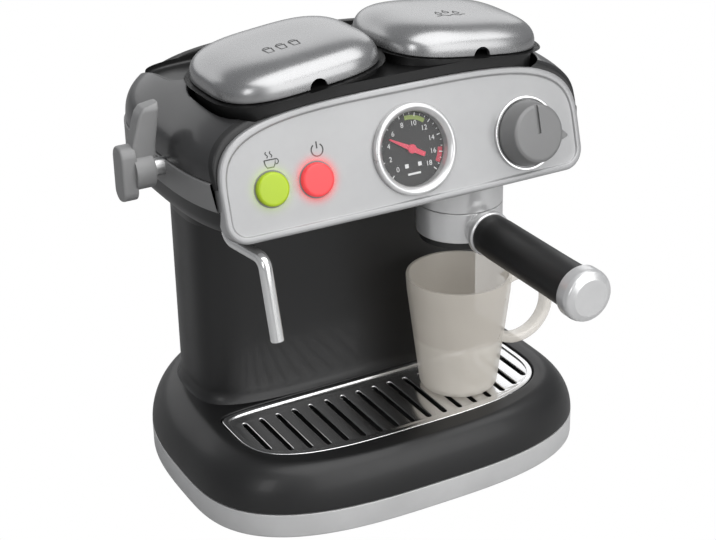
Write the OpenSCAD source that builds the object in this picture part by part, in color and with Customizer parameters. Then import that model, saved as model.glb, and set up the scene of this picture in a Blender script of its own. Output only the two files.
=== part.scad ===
// Toy espresso coffee maker: base with drip tray, column, head with two lidded wells,
// tilted control panel, group with swinging filter handle, steam wand, steam lever and cup.
// Origin: centre of the base's widest line, on the surface the feet stand on.
// X runs to the right seen from the front, Y to the rear, Z up. Millimetres.

/* [Base] */
// Width of the base
base_w = 200; // [180:1:240]
// Reach of the base in front of its widest line
base_front = 65.3; // [60:0.1:80]
// Reach of the base behind its widest line
base_rear = 99.7; // [96:0.1:120]
// Height of the top of the grey bottom strip
strip_z = 13.1; // [10:0.1:15]
// Height of the rim around the drip grille
rim_z = 34.6; // [33:0.1:42]
// Height that the rubber feet stand proud
foot_h = 1; // [0.6:0.1:2]
// Wall thickness of the moulded covers
wall = 2.4; // [1.8:0.1:2.6]

/* [Column] */
// Gap in plan between the base edge and the column side
column_inset = 22.5; // [20:0.5:30]
// Distance of the column's front face behind the widest line
column_face = 12; // [11:0.5:14]
// Distance of the column's rear face behind the widest line
column_back = 86; // [80:0.5:90]

/* [Head] */
// Height of the underside of the side band
band_z = 157.8; // [154:0.1:185]
// Height of the side band
band_h = 12.4; // [10:0.1:14]
// Height of the crown above the side band
crown_h = 31.6; // [30:0.1:36]
// Gap in plan between the base edge and the side of the head
head_inset = 2.6; // [2:0.1:8]
// Distance of the rear of the head behind the widest line
head_back = 95.3; // [93:0.1:110]

/* [Control panel] */
// Lean of the panel away from upright, in degrees
panel_tilt = 15.7; // [13:0.1:18]
// Distance of the gauge centre in front of the widest line
panel_front = 40.5; // [40:0.1:44]
// Height of the gauge centre above the underside of the band
panel_rise = 11.5; // [10:0.1:13]
// Gap in plan between the side of the head and the panel end
panel_inset = 7.1; // [6:0.1:12]
// Reach of the panel above its widest line
panel_up = 36; // [33:0.1:38]
// Reach of the panel below its widest line
panel_down = 18; // [17:0.1:20]
// Sweep of the panel ends to the rear
panel_bow = 3.1; // [2:0.1:5]
// Radius of the gauge bezel
gauge_r = 20.5; // [18:0.1:21]
// Distance of the knob axis from the panel end
knob_from_end = 30; // [27:0.1:34]
// Radius of the knob at its foot
knob_r = 15; // [12:0.1:15.5]
// Height of the knob above the panel face
knob_h = 11; // [9:0.5:16]
// Distance of the green button from the panel end
green_from_end = 22.9; // [20:0.1:27]
// Distance between the two buttons
button_pitch = 20.8; // [20:0.1:26]
// Radius of a button
button_r = 7.4; // [5:0.1:8]
// Travel of a button
button_travel = 1.5; // [1:0.1:2]

/* [Lids and wells] */
// Half width of a lid
lid_half_w = 39; // [34:0.5:40]
// Half depth of a lid
lid_half_d = 33; // [30:0.5:34]
// Height of a lid
lid_h = 13.8; // [11:0.1:16]
// Sideways lean of each lid, in degrees
lid_lean = 6.3; // [3:0.1:7]
// Distance of the lid centres behind the widest line
lid_y = 0; // [-0.5:0.5:3]
// Gap between the two lids
lid_gap = 3; // [2:0.5:12]

/* [Group and filter handle] */
// Distance of the group axis to the right of the centre
group_x = 38; // [30:0.5:42]
// Distance of the group's front in front of the widest line
group_reach = 39.2; // [38:0.1:39.7]
// Radius of the group
group_r = 20.2; // [19:0.1:20.6]
// Distance of the spout below the underside of the band
spout_drop = 41.6; // [40:0.1:44]
// Clear height between the cup and the filter basket
cup_gap = 20.2; // [20:0.1:28]
// Distance from the group axis to the end of the handle
handle_reach = 104.5; // [80:1:120]
// Radius of the handle
handle_r = 9.9; // [8:0.1:10]

/* [Steam wand and lever] */
// Radius of the wand pipe
wand_r = 3; // [2.5:0.1:3.4]
// Length of the wand pipe below its bend
wand_drop = 32.5; // [30:0.5:45]
// Radius of the lever hub
lever_r = 12.3; // [10:0.1:13]
// Length of the lever arm above its axis
lever_arm = 30.5; // [22:0.5:36]
// Width of the lever arm
lever_w = 13; // [10:0.5:15]

/* [Cup] */
// Radius of the cup at its mouth
cup_r = 25.2; // [22:0.1:27]
// Radius of the cup at its foot
cup_foot_r = 19; // [16:0.1:21]
// Wall thickness of the cup
cup_wall = 1.6; // [1.2:0.1:2.2]
// Reach of the cup's handle beyond the mouth
cup_handle_reach = 27.5; // [20:0.5:28]

/* [Clearances] */
// Gap between covers that meet without touching
seam = 0.3; // [0.2:0.05:0.5]
// Radial gap between a shaft and its bore
run_gap = 0.05; // [0.02:0.01:0.1]
// Gap around a piece that lifts or slides out
slip = 0.5; // [0.4:0.05:0.8]

/* [Hidden] */
$fn = 64;

// Plan of the base: corners of a superellipse, so round without a flat end
plan_points = 72;
base_n = 2.9;
base_half = base_w / 2;
rim_inset_side = 16.5;
rim_inset_front = 9.6;
rim_inset_rear = 5;
edge_n = 1.9;

// Well of the drip tray, inside the rim
well_half = base_half - 21;
well_front = base_front - 18.3;
well_back = column_face - 2.6;
well_y = -7.2;
well_n_front = 3.26;
well_n_back = 8;
ledge = 3;
ledge_z = rim_z - 3.8;
pan_flange = 0.8;
grille_top = rim_z - 1.1;
grille_frame_top = grille_top + 0.6;
grille_frame_w = 2.6;
slot_count = 17;
slot_w = 2.4;
slot_back = well_back - 11;
slot_margin = 6;
pan_depth = 11;
pan_wall = 1.5;

// Column and head plans
column_half = base_half - column_inset;
column_y = column_face + 30;
column_top = band_z - 31.8;
column_foot = 2.2;
cover_split_y = column_y + 16;
head_half = base_half - head_inset;
head_y = 20;
head_front_reach = 88;
head_n_front = 3.38;
head_n_rear = 3.15;
crown_n = 2.81;
band_top = band_z + band_h;
band_proud = 0.8;
crown_top = band_top + crown_h;

// Panel frame: local x runs right, local y up the panel, local z out of it
panel_half = head_half - panel_inset;
panel_z = band_z + panel_rise;
panel_mid = -7;
panel_thick = 7;
panel_skin = 3;
panel_rim_w = 3.2;
panel_low = max(panel_down, gauge_r + seam + panel_rim_w + panel_mid);
panel_rim_h = 0.9;
panel_n_up = 3.55;
panel_corner = 10;
panel_bend_r = (pow(panel_half, 2) + pow(panel_bow, 2)) / (2 * panel_bow);
// The gauge sits a little right of the middle
gauge_x = 1.8;
knob_x = panel_half - knob_from_end;
green_x = -(panel_half - green_from_end);
red_x = green_x + button_pitch;
board_x = (green_x + red_x) / 2;
control_v = -3.9;
board_z = -16;
board_t = 1.6;

// Lids: each has a frame of its own, which leans outwards
lid_x = lid_half_w + lid_gap / 2;
lid_base_z = crown_top + 0.8;
lid_n = 3.2;
lid_wall = 2;
plinth_lip = 1;
well_lip = 5;
// The wells stop short at the front, where the panel leans back over the deck
tub_front = lid_half_d - well_lip - 8;
tank_depth = 24;
hinge_y = lid_half_d + plinth_lip + 3.8;
hinge_z = 1.5;
hinge_r = 3;
hinge_pin_r = 1.5;
barrel_half = 12;
ear_w = 4;
tray_floor_z = crown_top - 18;
tray_half_d = 31.5;
tray_y = head_back - 41.8;
tray_half = head_half - 17;
tray_n = 5;

// Group, cup and handle
group_y = -(group_reach - group_r);
spout_z = band_z - spout_drop;
group_top = band_z - 12.8;
holder_top = spout_z + 14.5;
neck_r = 15.5;
basket_h = 3.5;
handle_z = spout_z + 6.2;
collar_len = 7;
cap_len = 9;
cup_top = spout_z - basket_h - cup_gap;
cup_h = cup_top - grille_top;
nozzle_r = 3.5;

// Lever and wand
lever_y = 5.8;
lever_z = band_z + 9;
lever_shaft_r = 4;
lever_x = head_half + band_proud + seam;
lever_plate = 7;
lever_hub_r = lever_r - 4.1;
lever_stand = 5;
wand_x = -(head_half - 19.8);
wand_y = -14;
wand_turn = 8;
wand_run = 18;
wand_bend = 5.5;
wand_run_z = band_z - 22.8;
wand_seat = band_z - 10.8;
wand_lean = 12;

// Battery bay, in the rear of the base
bay_y = 45;
bay_w = 62;
bay_d = 54;
cell_r = 7.1;
cell_len = 50;
cell_pitch = 16.5;
floor_t = 2.2;
floor_z = foot_h + floor_t;
cell_z = floor_z + cell_r + 3.2;

function spow(v, p) = sign(v) * pow(abs(v), p);

// Rounded outline with its own reach and squareness to the front and to the rear
function outline(half_w, front, rear, n_front, n_rear, y = 0) =
    [for (i = [0:plan_points - 1])
        let (t = 360 * i / plan_points, n = sin(t) < 0 ? n_front : n_rear)
        [half_w * spow(cos(t), 2 / n), y + (sin(t) < 0 ? front : rear) * spow(sin(t), 2 / n)]];

function ring_at(points, z) = [for (p = points) [p[0], p[1], z]];
function mix_rings(a, b, w) = [for (i = [0:len(a) - 1]) a[i] * (1 - w) + b[i] * w];

function base_plan(inset) =
    outline(base_half - inset, base_front - inset, base_rear - inset, base_n, base_n);
function rim_plan(inset) =
    outline(base_half - rim_inset_side - inset, base_front - rim_inset_front - inset,
        base_rear - rim_inset_rear - inset, base_n, base_n);
function well_plan(inset) =
    outline(well_half - inset, well_front + well_y - inset, well_back - well_y - inset,
        well_n_front, well_n_back, well_y);
function column_plan(inset) =
    outline(column_half - inset, column_y - column_face - inset, column_back - column_y - inset,
        4, 2.5, column_y);
function head_plan(inset) =
    outline(head_half - inset, head_front_reach - inset, head_back - head_y - inset,
        head_n_front, head_n_rear, head_y);
function lid_plan(grow) =
    outline(lid_half_w + grow, lid_half_d + grow, lid_half_d + grow, lid_n, lid_n);
function tub_plan(grow) =
    outline(lid_half_w - well_lip + grow, tub_front + grow, lid_half_d - well_lip + grow, lid_n, lid_n);
function tray_plan(inset) =
    outline(tray_half - inset, tray_half_d - inset, tray_half_d - inset, tray_n, tray_n, tray_y);

// Upper half a superellipse, lower half straight with round corners
function panel_plan(inset) =
    [for (i = [0:plan_points - 1])
        let (t = 360 * i / plan_points, c = cos(t), s = sin(t), r = panel_corner - inset)
        s < 0
            ? [sign(c) * (panel_half - panel_corner) + r * c, panel_mid - panel_low + panel_corner + r * s]
            : [(panel_half - inset) * spow(c, 2 / panel_n_up),
                panel_mid + (panel_up - inset) * spow(s, 2 / panel_n_up)]];

// How far the panel's front lies behind its centre at distance x
function bow_at(x) = panel_bend_r - sqrt(pow(panel_bend_r, 2) - x * x);

// Rings of the base's rounded body, from the bottom strip up to the rim
function body_rings(inset, top, steps) =
    [for (k = [0:steps])
        let (a = 90 * k / steps)
        ring_at(mix_rings(base_plan(inset), rim_plan(inset), 1 - pow(cos(a), 2 / edge_n)),
            strip_z + (top - strip_z) * pow(sin(a), 2 / edge_n))];

// Rings of the crowned top of the head, from the band up to its crown
function crown_rings(inset, steps, last) =
    [for (k = [0:steps])
        let (a = last * k / steps, s = pow(cos(a), 2 / crown_n))
        ring_at([for (p = head_plan(inset)) [p[0] * s, head_y + (p[1] - head_y) * s]],
            band_top + (crown_h - inset) * pow(sin(a), 2 / crown_n))];

// Closed skin through rings of points, where the last ring joins the first
module ring_skin(rings) {
    n = len(rings[0]);
    m = len(rings);
    polyhedron(points = [for (r = rings) each r],
        faces = [for (j = [0:m - 1], i = [0:n - 1])
            let (a = j * n + i, b = j * n + (i + 1) % n, k = (j + 1) % m)
            each [[a, k * n + (i + 1) % n, b], [a, k * n + i, k * n + (i + 1) % n]]]);
}

// Closed solid through rings of points, with a flat face on its first and last ring
module ring_solid(rings) {
    n = len(rings[0]);
    m = len(rings);
    polyhedron(points = [for (r = rings) each r],
        faces = concat([[for (i = [0:n - 1]) i]],
            [for (j = [0:m - 2], i = [0:n - 1])
                let (a = j * n + i, b = j * n + (i + 1) % n)
                each [[a, b + n, b], [a, a + n, b + n]]],
            [[for (i = [n - 1:-1:0]) (m - 1) * n + i]]));
}

module slab(points, z0, z1) {
    translate([0, 0, z0]) linear_extrude(z1 - z0) polygon(points);
}

module tube(r_out, r_in, z0, z1) {
    difference() {
        translate([0, 0, z0]) cylinder(r = r_out, h = z1 - z0);
        translate([0, 0, z0 - 1]) cylinder(r = r_in, h = z1 - z0 + 2);
    }
}

// A box from its low corner to its high corner
module block(low, high) {
    translate(low) cube(high - low);
}

// Straight rod between two points
module rod(a, b, r) {
    d = b - a;
    translate(a) rotate([0, acos(d[2] / norm(d)), atan2(d[1], d[0])]) cylinder(r = r, h = norm(d));
}

module on_panel(x = 0, y = 0) {
    translate([0, -panel_front, panel_z]) rotate([90 - panel_tilt, 0, 0]) translate([x, y, 0]) children();
}

// Frame on the panel's face at distance x, which follows the sweep of the panel
module on_face(x, y = 0) {
    on_panel(x, y) translate([0, 0, -bow_at(x) - panel_rim_h])
        rotate([0, asin(x / panel_bend_r), 0]) children();
}

module on_lid(side) {
    translate([side * lid_x, lid_y, lid_base_z]) rotate([0, side * lid_lean, 0]) children();
}

// Space in front of the face that the panel covers
module ahead_of_panel(depth) {
    on_panel() translate([-150, -100, -depth]) cube([300, 200, 200]);
}

/* ---- Base ---- */

foot_spots = [[-68, -32], [68, -32], [-62, 66], [62, 66]];
foot_r = 7;
base_screw_spots = [[-(base_half - 14), 10], [base_half - 14, 10], [-48, base_rear - 20],
    [48, base_rear - 20]];
boss_r = 4;
screw_r = 1.5;
screw_head_r = 2.8;

module feet() {
    color("dimgray")
    for (p = foot_spots)
        translate([p[0], p[1], 0]) cylinder(r = foot_r, h = foot_h + 0.8);
}

module base_plate() {
    color("silver")
    difference() {
        union() {
            slab(base_plan(0), foot_h, floor_z);
            difference() {
                slab(base_plan(0), floor_z - 0.1, strip_z);
                slab(base_plan(wall + 0.2), 0, strip_z + 1);
            }
        }
        for (p = foot_spots)
            translate([p[0], p[1], 0]) cylinder(r = foot_r + 0.15, h = foot_h + 0.8);
        for (p = base_screw_spots) {
            translate([p[0], p[1], 0]) cylinder(r = screw_r + 0.3, h = 10);
            translate([p[0], p[1], 0]) cylinder(r = screw_head_r + 0.3, h = foot_h + 1.2);
        }
        block([-bay_w / 2, bay_y - bay_d / 2, 0], [bay_w / 2, bay_y + bay_d / 2, 8]);
    }
}

module base_shell() {
    steps = 7;
    color("#242426")
    difference() {
        union() {
            difference() {
                ring_solid(body_rings(0, rim_z, steps));
                difference() {
                    ring_solid(concat([ring_at(base_plan(wall), strip_z - 1)],
                        body_rings(wall, rim_z - wall, steps)));
                    slab(well_plan(-1.6), ledge_z - 2, rim_z);
                    for (p = base_screw_spots)
                        translate([p[0], p[1], 0]) cylinder(r = boss_r, h = rim_z);
                }
            }
            for (p = base_screw_spots)
                translate([p[0], p[1], floor_z]) cylinder(r = boss_r, h = strip_z + 6 - floor_z);
        }
        slab(well_plan(0), ledge_z, rim_z + 1);
        slab(well_plan(ledge), 0, ledge_z + 1);
        for (p = base_screw_spots)
            translate([p[0], p[1], 0]) cylinder(r = screw_r + 0.02, h = 16);
        block([-24, column_face + 12, rim_z - 6], [24, column_face + 46, rim_z + 2]);
    }
}

module drip_pan() {
    z_top = ledge_z + pan_flange;
    color("#3a3a3c")
    difference() {
        union() {
            slab(well_plan(slip), ledge_z, z_top);
            slab(well_plan(ledge + slip), ledge_z - pan_depth, ledge_z + 0.1);
        }
        slab(well_plan(ledge + slip + pan_wall), ledge_z - pan_depth + pan_wall, z_top + 1);
    }
}

// Outline of a slot of length l with round ends, along y
function slot_plan(w, l) =
    [for (i = [0:6]) let (a = 180 * i / 6) [w / 2 * cos(a), l / 2 - w / 2 + w / 2 * sin(a)],
        for (i = [0:6]) let (a = 180 + 180 * i / 6) [w / 2 * cos(a), -l / 2 + w / 2 + w / 2 * sin(a)]];

// Front end of a slot at distance x, which follows the outline of the grille
function slot_front(x) = well_y - (well_front + well_y - slot_margin)
    * pow(1 - pow(abs(x) / (well_half - 2.5), well_n_front), 1 / well_n_front);

module drip_grille() {
    z0 = ledge_z + pan_flange;
    field = well_half - 9.4;
    color("#c9cbce")
    difference() {
        union() {
            slab(well_plan(slip), z0, grille_top);
            difference() {
                slab(well_plan(slip), grille_top - 0.1, grille_frame_top);
                slab(well_plan(slip + grille_frame_w), 0, grille_frame_top + 1);
            }
        }
        for (i = [0:slot_count - 1])
            let (x = -field + 2 * field * i / (slot_count - 1), len = slot_back - slot_front(x))
            translate([x, slot_back - len / 2, z0 - 1]) linear_extrude(5) polygon(slot_plan(slot_w, len));
    }
}

box_rim = 2;

module battery_box() {
    x1 = bay_w / 2 + box_rim;
    y0 = bay_y - bay_d / 2 - box_rim;
    y1 = bay_y + bay_d / 2 + box_rim;
    z1 = cell_z + cell_r + 2;
    color("#333336")
    difference() {
        block([-x1, y0, floor_z], [x1, y1, z1]);
        block([-x1 + box_rim + 1, y0 + box_rim + 1, floor_z - 1],
            [x1 - box_rim - 1, y1 - box_rim - 1, z1 - 1.6]);
    }
}

module batteries() {
    color("#5a8f57")
    for (i = [-1:1])
        translate([-cell_len / 2, bay_y + i * cell_pitch, cell_z]) rotate([0, 90, 0]) union() {
            cylinder(r = cell_r, h = cell_len - 1.5);
            cylinder(r = 2.7, h = cell_len);
        }
}

module battery_contacts() {
    x = bay_w / 2 - 1.3;
    color("#d8d8d0")
    for (i = [-1:1], s = [-1, 1])
        union() {
            block([s * x - 0.3, bay_y + i * cell_pitch - 5, cell_z - 5],
                [s * x + 0.3, bay_y + i * cell_pitch + 5, cell_z + 5]);
            translate([s < 0 ? -x : cell_len / 2, bay_y + i * cell_pitch, cell_z])
                rotate([0, 90, 0]) cylinder(r = 3, h = x - cell_len / 2);
        }
}

module battery_cover() {
    color("silver")
    difference() {
        block([-bay_w / 2 + slip, bay_y - bay_d / 2 + slip, foot_h],
            [bay_w / 2 - slip, bay_y + bay_d / 2 - slip, floor_z]);
        translate([0, bay_y - bay_d / 2 + 5, 0]) cylinder(r = screw_r + 0.2, h = 8);
        translate([0, bay_y - bay_d / 2 + 5, 0]) cylinder(r = screw_head_r + 0.2, h = foot_h + 1);
    }
}

/* ---- Column and head covers ---- */

function column_skin() =
    [ring_at(column_plan(-column_foot), rim_z), ring_at(column_plan(-0.6 * column_foot), rim_z + 1.2),
        ring_at(column_plan(-0.25 * column_foot), rim_z + 3), ring_at(column_plan(0), rim_z + 6),
        ring_at(column_plan(0), column_top), ring_at(column_plan(wall), column_top),
        ring_at(column_plan(wall), rim_z)];

rear_screw_spots = [[-38, 58], [38, 58], [-38, 106], [38, 106]];

// Where the rear cover's outer face lies at distance x
function rear_face(x) =
    column_y + (column_back - column_y) * pow(1 - pow(abs(x) / column_half, 2.5), 1 / 2.5);

speaker_z = 82;
speaker_r = 18;
speaker_y = column_back - wall - 1;

module column_shell() {
    color("#242426")
    difference() {
        ring_skin(column_skin());
        block([-130, cover_split_y, 0], [130, 130, 240]);
    }
}

module rear_cover() {
    color("#242426")
    difference() {
        union() {
            difference() {
                ring_skin(column_skin());
                block([-130, -60, 0], [130, cover_split_y + seam, 240]);
            }
            for (p = rear_screw_spots)
                translate([p[0], rear_face(p[0]) - 1, p[1]]) rotate([90, 0, 0])
                    cylinder(r = boss_r, h = 16);
            translate([0, rear_face(speaker_r) - 0.5, speaker_z]) rotate([90, 0, 0])
                tube(speaker_r + 2, speaker_r - 3, 0, rear_face(speaker_r) - 0.5 - speaker_y);
        }
        for (i = [-3:3], j = [-2:2])
            if (abs(i) + abs(j) < 5)
                translate([i * 4.4, column_back + 5, speaker_z + j * 4.4]) rotate([90, 0, 0])
                    cylinder(r = 1.1, h = 12);
        for (p = rear_screw_spots) {
            translate([p[0], rear_face(p[0]) + 5, p[1]]) rotate([90, 0, 0])
                cylinder(r = screw_r + 0.02, h = 40);
            translate([p[0], rear_face(p[0]) + 5, p[1]]) rotate([90, 0, 0])
                cylinder(r = screw_head_r + 0.3, h = 6.9);
        }
    }
}

module speaker() {
    color("#2c2c30")
    translate([0, speaker_y, speaker_z]) rotate([90, 0, 0]) union() {
        cylinder(r = speaker_r, h = 3);
        cylinder(r = speaker_r - 7, h = 9);
    }
}

// Rows of the head's flare from the column up to the band: height, then how far the
// side, front, rear and squareness have grown from the column's to the head's
flare_rows = [[0, 0, 0, 0, 0], [0.157, 0.075, 0.006, 0.05, 0.05], [0.314, 0.25, 0.025, 0.22, 0.18],
    [0.456, 0.48, 0.0875, 0.43, 0.36], [0.566, 0.68, 0.225, 0.65, 0.64], [0.645, 0.82, 0.5, 0.77, 0.9],
    [0.692, 0.88, 0.97, 0.86, 1], [0.818, 0.97, 1, 0.97, 1], [1, 1, 1, 1, 1]];

function blend(a, b, w) = a + (b - a) * w;

function flare_ring(row, inset, lift) =
    let (y = blend(column_y, head_y, row[4]),
        front = blend(column_face, head_y - head_front_reach, row[2]),
        rear = blend(column_back, head_back, row[3]))
    ring_at(outline(blend(column_half, head_half, row[1]) - inset, y - front - inset, rear - y - inset,
        blend(4, head_n_front, row[4]), blend(2.5, head_n_rear, row[4]), y),
        blend(column_top, band_z, row[0]) + lift);

module head_lower_shell() {
    last = len(flare_rows) - 1;
    pad_h = 2.4;
    color("#242426")
    difference() {
        union() {
            difference() {
                ring_skin(concat([for (r = flare_rows) flare_ring(r, 0, 0)],
                    [for (k = [last:-1:0])
                        flare_ring(flare_rows[k], wall,
                            k == 0 || k == last ? 0 : min(wall - 0.2, 5 * flare_rows[k][0]))]));
                at_group() cylinder(r = group_r + seam, h = group_top);
                at_wand() cylinder(r = socket_r + seam, h = wand_seat);
            }
            at_group() translate([0, 0, group_top]) cylinder(r = group_r + 2.5, h = pad_h);
            at_wand() translate([0, 0, wand_seat]) cylinder(r = socket_r + 2.5, h = pad_h);
        }
        ahead_of_panel(panel_thick + seam);
        at_group() translate([0, 0, group_top - 1]) cylinder(r = nozzle_r + run_gap, h = 12);
        at_wand() translate([0, 0, wand_seat - 1]) cylinder(r = wand_r + seam, h = 12);
    }
}

module lever_hole() {
    translate([-head_half - 10, lever_y, lever_z]) rotate([0, 90, 0])
        cylinder(r = lever_shaft_r + seam, h = 20);
}

module side_band() {
    color("#77787a")
    difference() {
        slab(head_plan(-band_proud), band_z, band_top);
        slab(head_plan(wall + 0.6), band_z - 1, band_top + 1);
        ahead_of_panel(panel_thick + seam);
        lever_hole();
    }
}

// Opening of the crown that the deck fills
module deck_opening(gap) {
    slab(tray_plan(-gap), tray_floor_z - 10, crown_top + 20);
    for (s = [-1, 1])
        translate([s * lid_x, lid_y, 0])
            slab(lid_plan(plinth_lip + 0.4 + gap), tray_floor_z - 20, crown_top + 20);
    block([-lid_x, -80, tray_floor_z - 20], [lid_x, tray_y, crown_top + 20]);
}

module head_upper_shell() {
    steps = 8;
    color("#242426")
    difference() {
        ring_skin(concat(crown_rings(0, steps, 80),
            [for (k = [steps:-1:0]) crown_rings(wall, steps, 80)[k]]));
        ahead_of_panel(panel_thick + seam);
        deck_opening(seam);
        lever_hole();
    }
}

// The block that the panel takes up, with a gap around it
module panel_pocket(gap) {
    on_panel() slab(panel_plan(-gap), -panel_thick - gap, 30);
}

module top_deck() {
    plinth_bottom = tray_floor_z - 4 - lid_base_z;
    color("#151517")
    difference() {
        union() {
            difference() {
                union() {
                    for (s = [-1, 1])
                        on_lid(s) slab(lid_plan(plinth_lip), plinth_bottom, 0);
                    block([-lid_x + 8, lid_y - lid_half_d + 1, tray_floor_z - 2.4],
                        [lid_x - 8, tray_y, crown_top]);
                }
                translate([0, 0, tray_floor_z]) slab(tray_plan(1.6 + slip), 0, 40);
            }
            for (s = [-1, 1])
                on_lid(s) slab(lid_plan(plinth_lip), plinth_bottom, 0);
            intersection() {
                difference() {
                    slab(tray_plan(0), tray_floor_z - 2.4, crown_top);
                    slab(tray_plan(1.6), tray_floor_z, crown_top + 1);
                }
                ring_solid(crown_rings(0.6, 6, 84));
            }
            for (s = [-1, 1], e = [-1, 1])
                on_lid(s) hinge_ear(e);
        }
        panel_pocket(seam);
        for (s = [-1, 1])
            on_lid(s) {
                slab(tub_plan(0), -60, 20);
                translate([-40, hinge_y, hinge_z]) rotate([0, 90, 0])
                    cylinder(r = hinge_pin_r + 0.02, h = 80);
            }
    }
}

module hinge_ear(side) {
    x0 = side > 0 ? barrel_half + seam : -barrel_half - seam - ear_w;
    translate([x0, hinge_y, hinge_z]) rotate([0, 90, 0]) cylinder(r = hinge_r, h = ear_w);
    block([x0, lid_half_d - 3, -9], [x0 + ear_w, hinge_y + hinge_r - 0.5, -0.4]);
    block([x0, hinge_y - hinge_r + 0.5, -1], [x0 + ear_w, hinge_y + hinge_r - 0.5, hinge_z]);
}

module lid_hinge_pins() {
    half = barrel_half + seam + ear_w;
    color("silver")
    for (s = [-1, 1])
        on_lid(s) translate([-half, hinge_y, hinge_z]) rotate([0, 90, 0])
            cylinder(r = hinge_pin_r, h = 2 * half);
}

function pillow_rings(grow, h, z0, steps, last) =
    [for (k = [0:steps])
        let (a = last * k / steps, s = pow(cos(a), 2 / 3))
        ring_at([for (p = lid_plan(grow)) p * s], z0 + h * pow(sin(a), 2 / 2.6))];

module lid() {
    notch_r = 4.2;
    union() {
        difference() {
            ring_solid(pillow_rings(0, lid_h, seam, 9, 86));
            ring_solid(concat([ring_at(lid_plan(-lid_wall), seam - 1)],
                pillow_rings(-lid_wall, lid_h - lid_wall, seam, 7, 84)));
            translate([0, -lid_half_d - 2, seam]) rotate([-90, 0, 0]) cylinder(r = notch_r, h = 6);
        }
        difference() {
            union() {
                translate([-barrel_half, hinge_y, hinge_z]) rotate([0, 90, 0])
                    cylinder(r = hinge_r, h = 2 * barrel_half);
                block([-barrel_half, lid_half_d - 1.5, seam], [barrel_half, hinge_y, hinge_z + 2.4]);
            }
            translate([-40, hinge_y, hinge_z]) rotate([0, 90, 0])
                cylinder(r = hinge_pin_r + run_gap, h = 80);
        }
    }
}

module left_lid() {
    color("#c9cbce") on_lid(-1) lid();
}

module right_lid() {
    color("#c9cbce") on_lid(1) lid();
}

// Tub that hangs by its flange in a well of the deck
module well_tub(depth) {
    difference() {
        union() {
            slab(tub_plan(2.4), 0, 1.2);
            slab(tub_plan(-seam), -depth, 0.1);
        }
        slab(tub_plan(-seam - 1.6), -depth + 1.6, 2);
    }
}

outlet_spot = [16, -8];

module water_tank() {
    color("#8fb4c8")
    on_lid(1) difference() {
        union() {
            well_tub(tank_depth);
            translate([outlet_spot[0], outlet_spot[1], -tank_depth - 4]) cylinder(r = 3.5, h = 4.5);
        }
        translate([outlet_spot[0], outlet_spot[1], -tank_depth - 5]) cylinder(r = 2, h = 10);
    }
}

module pod_tray() {
    color("#3c3c3e")
    on_lid(-1) union() {
        well_tub(22);
        block([-1, -tub_front + 1, -21], [1, lid_half_d - 8, -6]);
    }
}

/* ---- Panel ---- */

shaft_r = 3;
post_r = 2;
post_spots = [for (x = [-21, 22], y = [-6, 10]) [x, y]];

// Solid under the panel's swept front, from depth d down
module under_sweep(d) {
    translate([0, 0, -panel_bend_r - d]) rotate([90, 0, 0])
        cylinder(r = panel_bend_r, h = 220, center = true, $fn = 256);
}

module control_panel() {
    color("#c3c4c6")
    union() {
        difference() {
            on_panel() intersection() {
                slab(panel_plan(0), -panel_thick, 2);
                under_sweep(0);
            }
            on_panel() difference() {
                slab(panel_plan(panel_rim_w), -panel_thick - 1, 4);
                under_sweep(panel_rim_h);
            }
            on_panel() intersection() {
                slab(panel_plan(panel_rim_w), -panel_thick - 1, 4);
                under_sweep(panel_rim_h + panel_skin);
            }
            on_face(gauge_x) translate([0, 0, -20]) cylinder(r = gauge_r - 2, h = 40);
            on_face(knob_x, control_v) translate([0, 0, -20]) cylinder(r = shaft_r + 0.4, h = 40);
            for (s = [-1, 1])
                on_face(board_x, control_v) translate([s * button_pitch / 2, 0, -20])
                    cylinder(r = button_r + seam, h = 40);
        }
        for (p = post_spots)
            on_face(board_x, control_v) translate([p[0], p[1], board_z + board_t])
                cylinder(r = post_r, h = -board_z - board_t - 1.5);
    }
}

module gauge_bezel() {
    color("silver")
    on_face(gauge_x) rotate_extrude()
        polygon([[16.5, -5], [gauge_r - 2.2, -5], [gauge_r - 2.2, 0], [gauge_r, 0.1],
            [gauge_r, 1.4], [gauge_r - 0.9, 2.4], [gauge_r - 2, 2.7], [17.6, 2], [16.5, 0.8]]);
}

module gauge_dial() {
    color("#101012")
    on_face(gauge_x) difference() {
        translate([0, 0, -4.5]) cylinder(r = 16.4, h = 1.5);
        translate([0, 0, -6]) cylinder(r = 1 + run_gap, h = 5);
    }
}

needle_angle = 150;

module gauge_needle() {
    color("#d82432")
    on_face(gauge_x) union() {
        translate([0, 0, -4.5]) cylinder(r = 1, h = 2);
        translate([0, 0, -2.8]) cylinder(r = 2, h = 1.2);
        rotate([0, 0, needle_angle]) translate([0, 0, -2.6]) linear_extrude(0.7)
            polygon([[-7, -1], [-7, 1], [0, 1.2], [12, 0.3], [12, -0.3], [0, -1.2]]);
    }
}

module gauge_lens() {
    color([0.9, 0.95, 1, 0.35])
    on_face(gauge_x) translate([0, 0, -0.8]) cylinder(r = 16.4, h = 1);
}

module knob_ring() {
    color("silver")
    on_face(knob_x, control_v) tube(knob_r + 1.9, knob_r + 0.6, 0.02, 1.2);
}

module control_knob() {
    face_r = knob_r - 2.4;
    color("#8a8b8d")
    on_face(knob_x, control_v) difference() {
        union() {
            rotate_extrude()
                polygon([[0, seam], [knob_r, seam], [knob_r, 1.8], [face_r + 0.6, knob_h - 1.2],
                    [face_r - 0.4, knob_h - 0.2], [face_r - 1.4, knob_h], [0, knob_h]]);
            rotate([0, 0, -13]) translate([0, 0, 3]) linear_extrude(knob_h - 3.6)
                polygon([[face_r - 3, -4.4], [knob_r + 1.2, -0.4], [knob_r + 1.2, 0.4],
                    [face_r - 3, 4.4]]);
        }
        tube(knob_r - 4, 5, 0, knob_h - 2.2);
        cylinder(r = shaft_r + 0.02, h = knob_h - 3);
        translate([-0.9, 0, knob_h - 1]) cube([1.8, knob_r + 5, 4]);
    }
}

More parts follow.
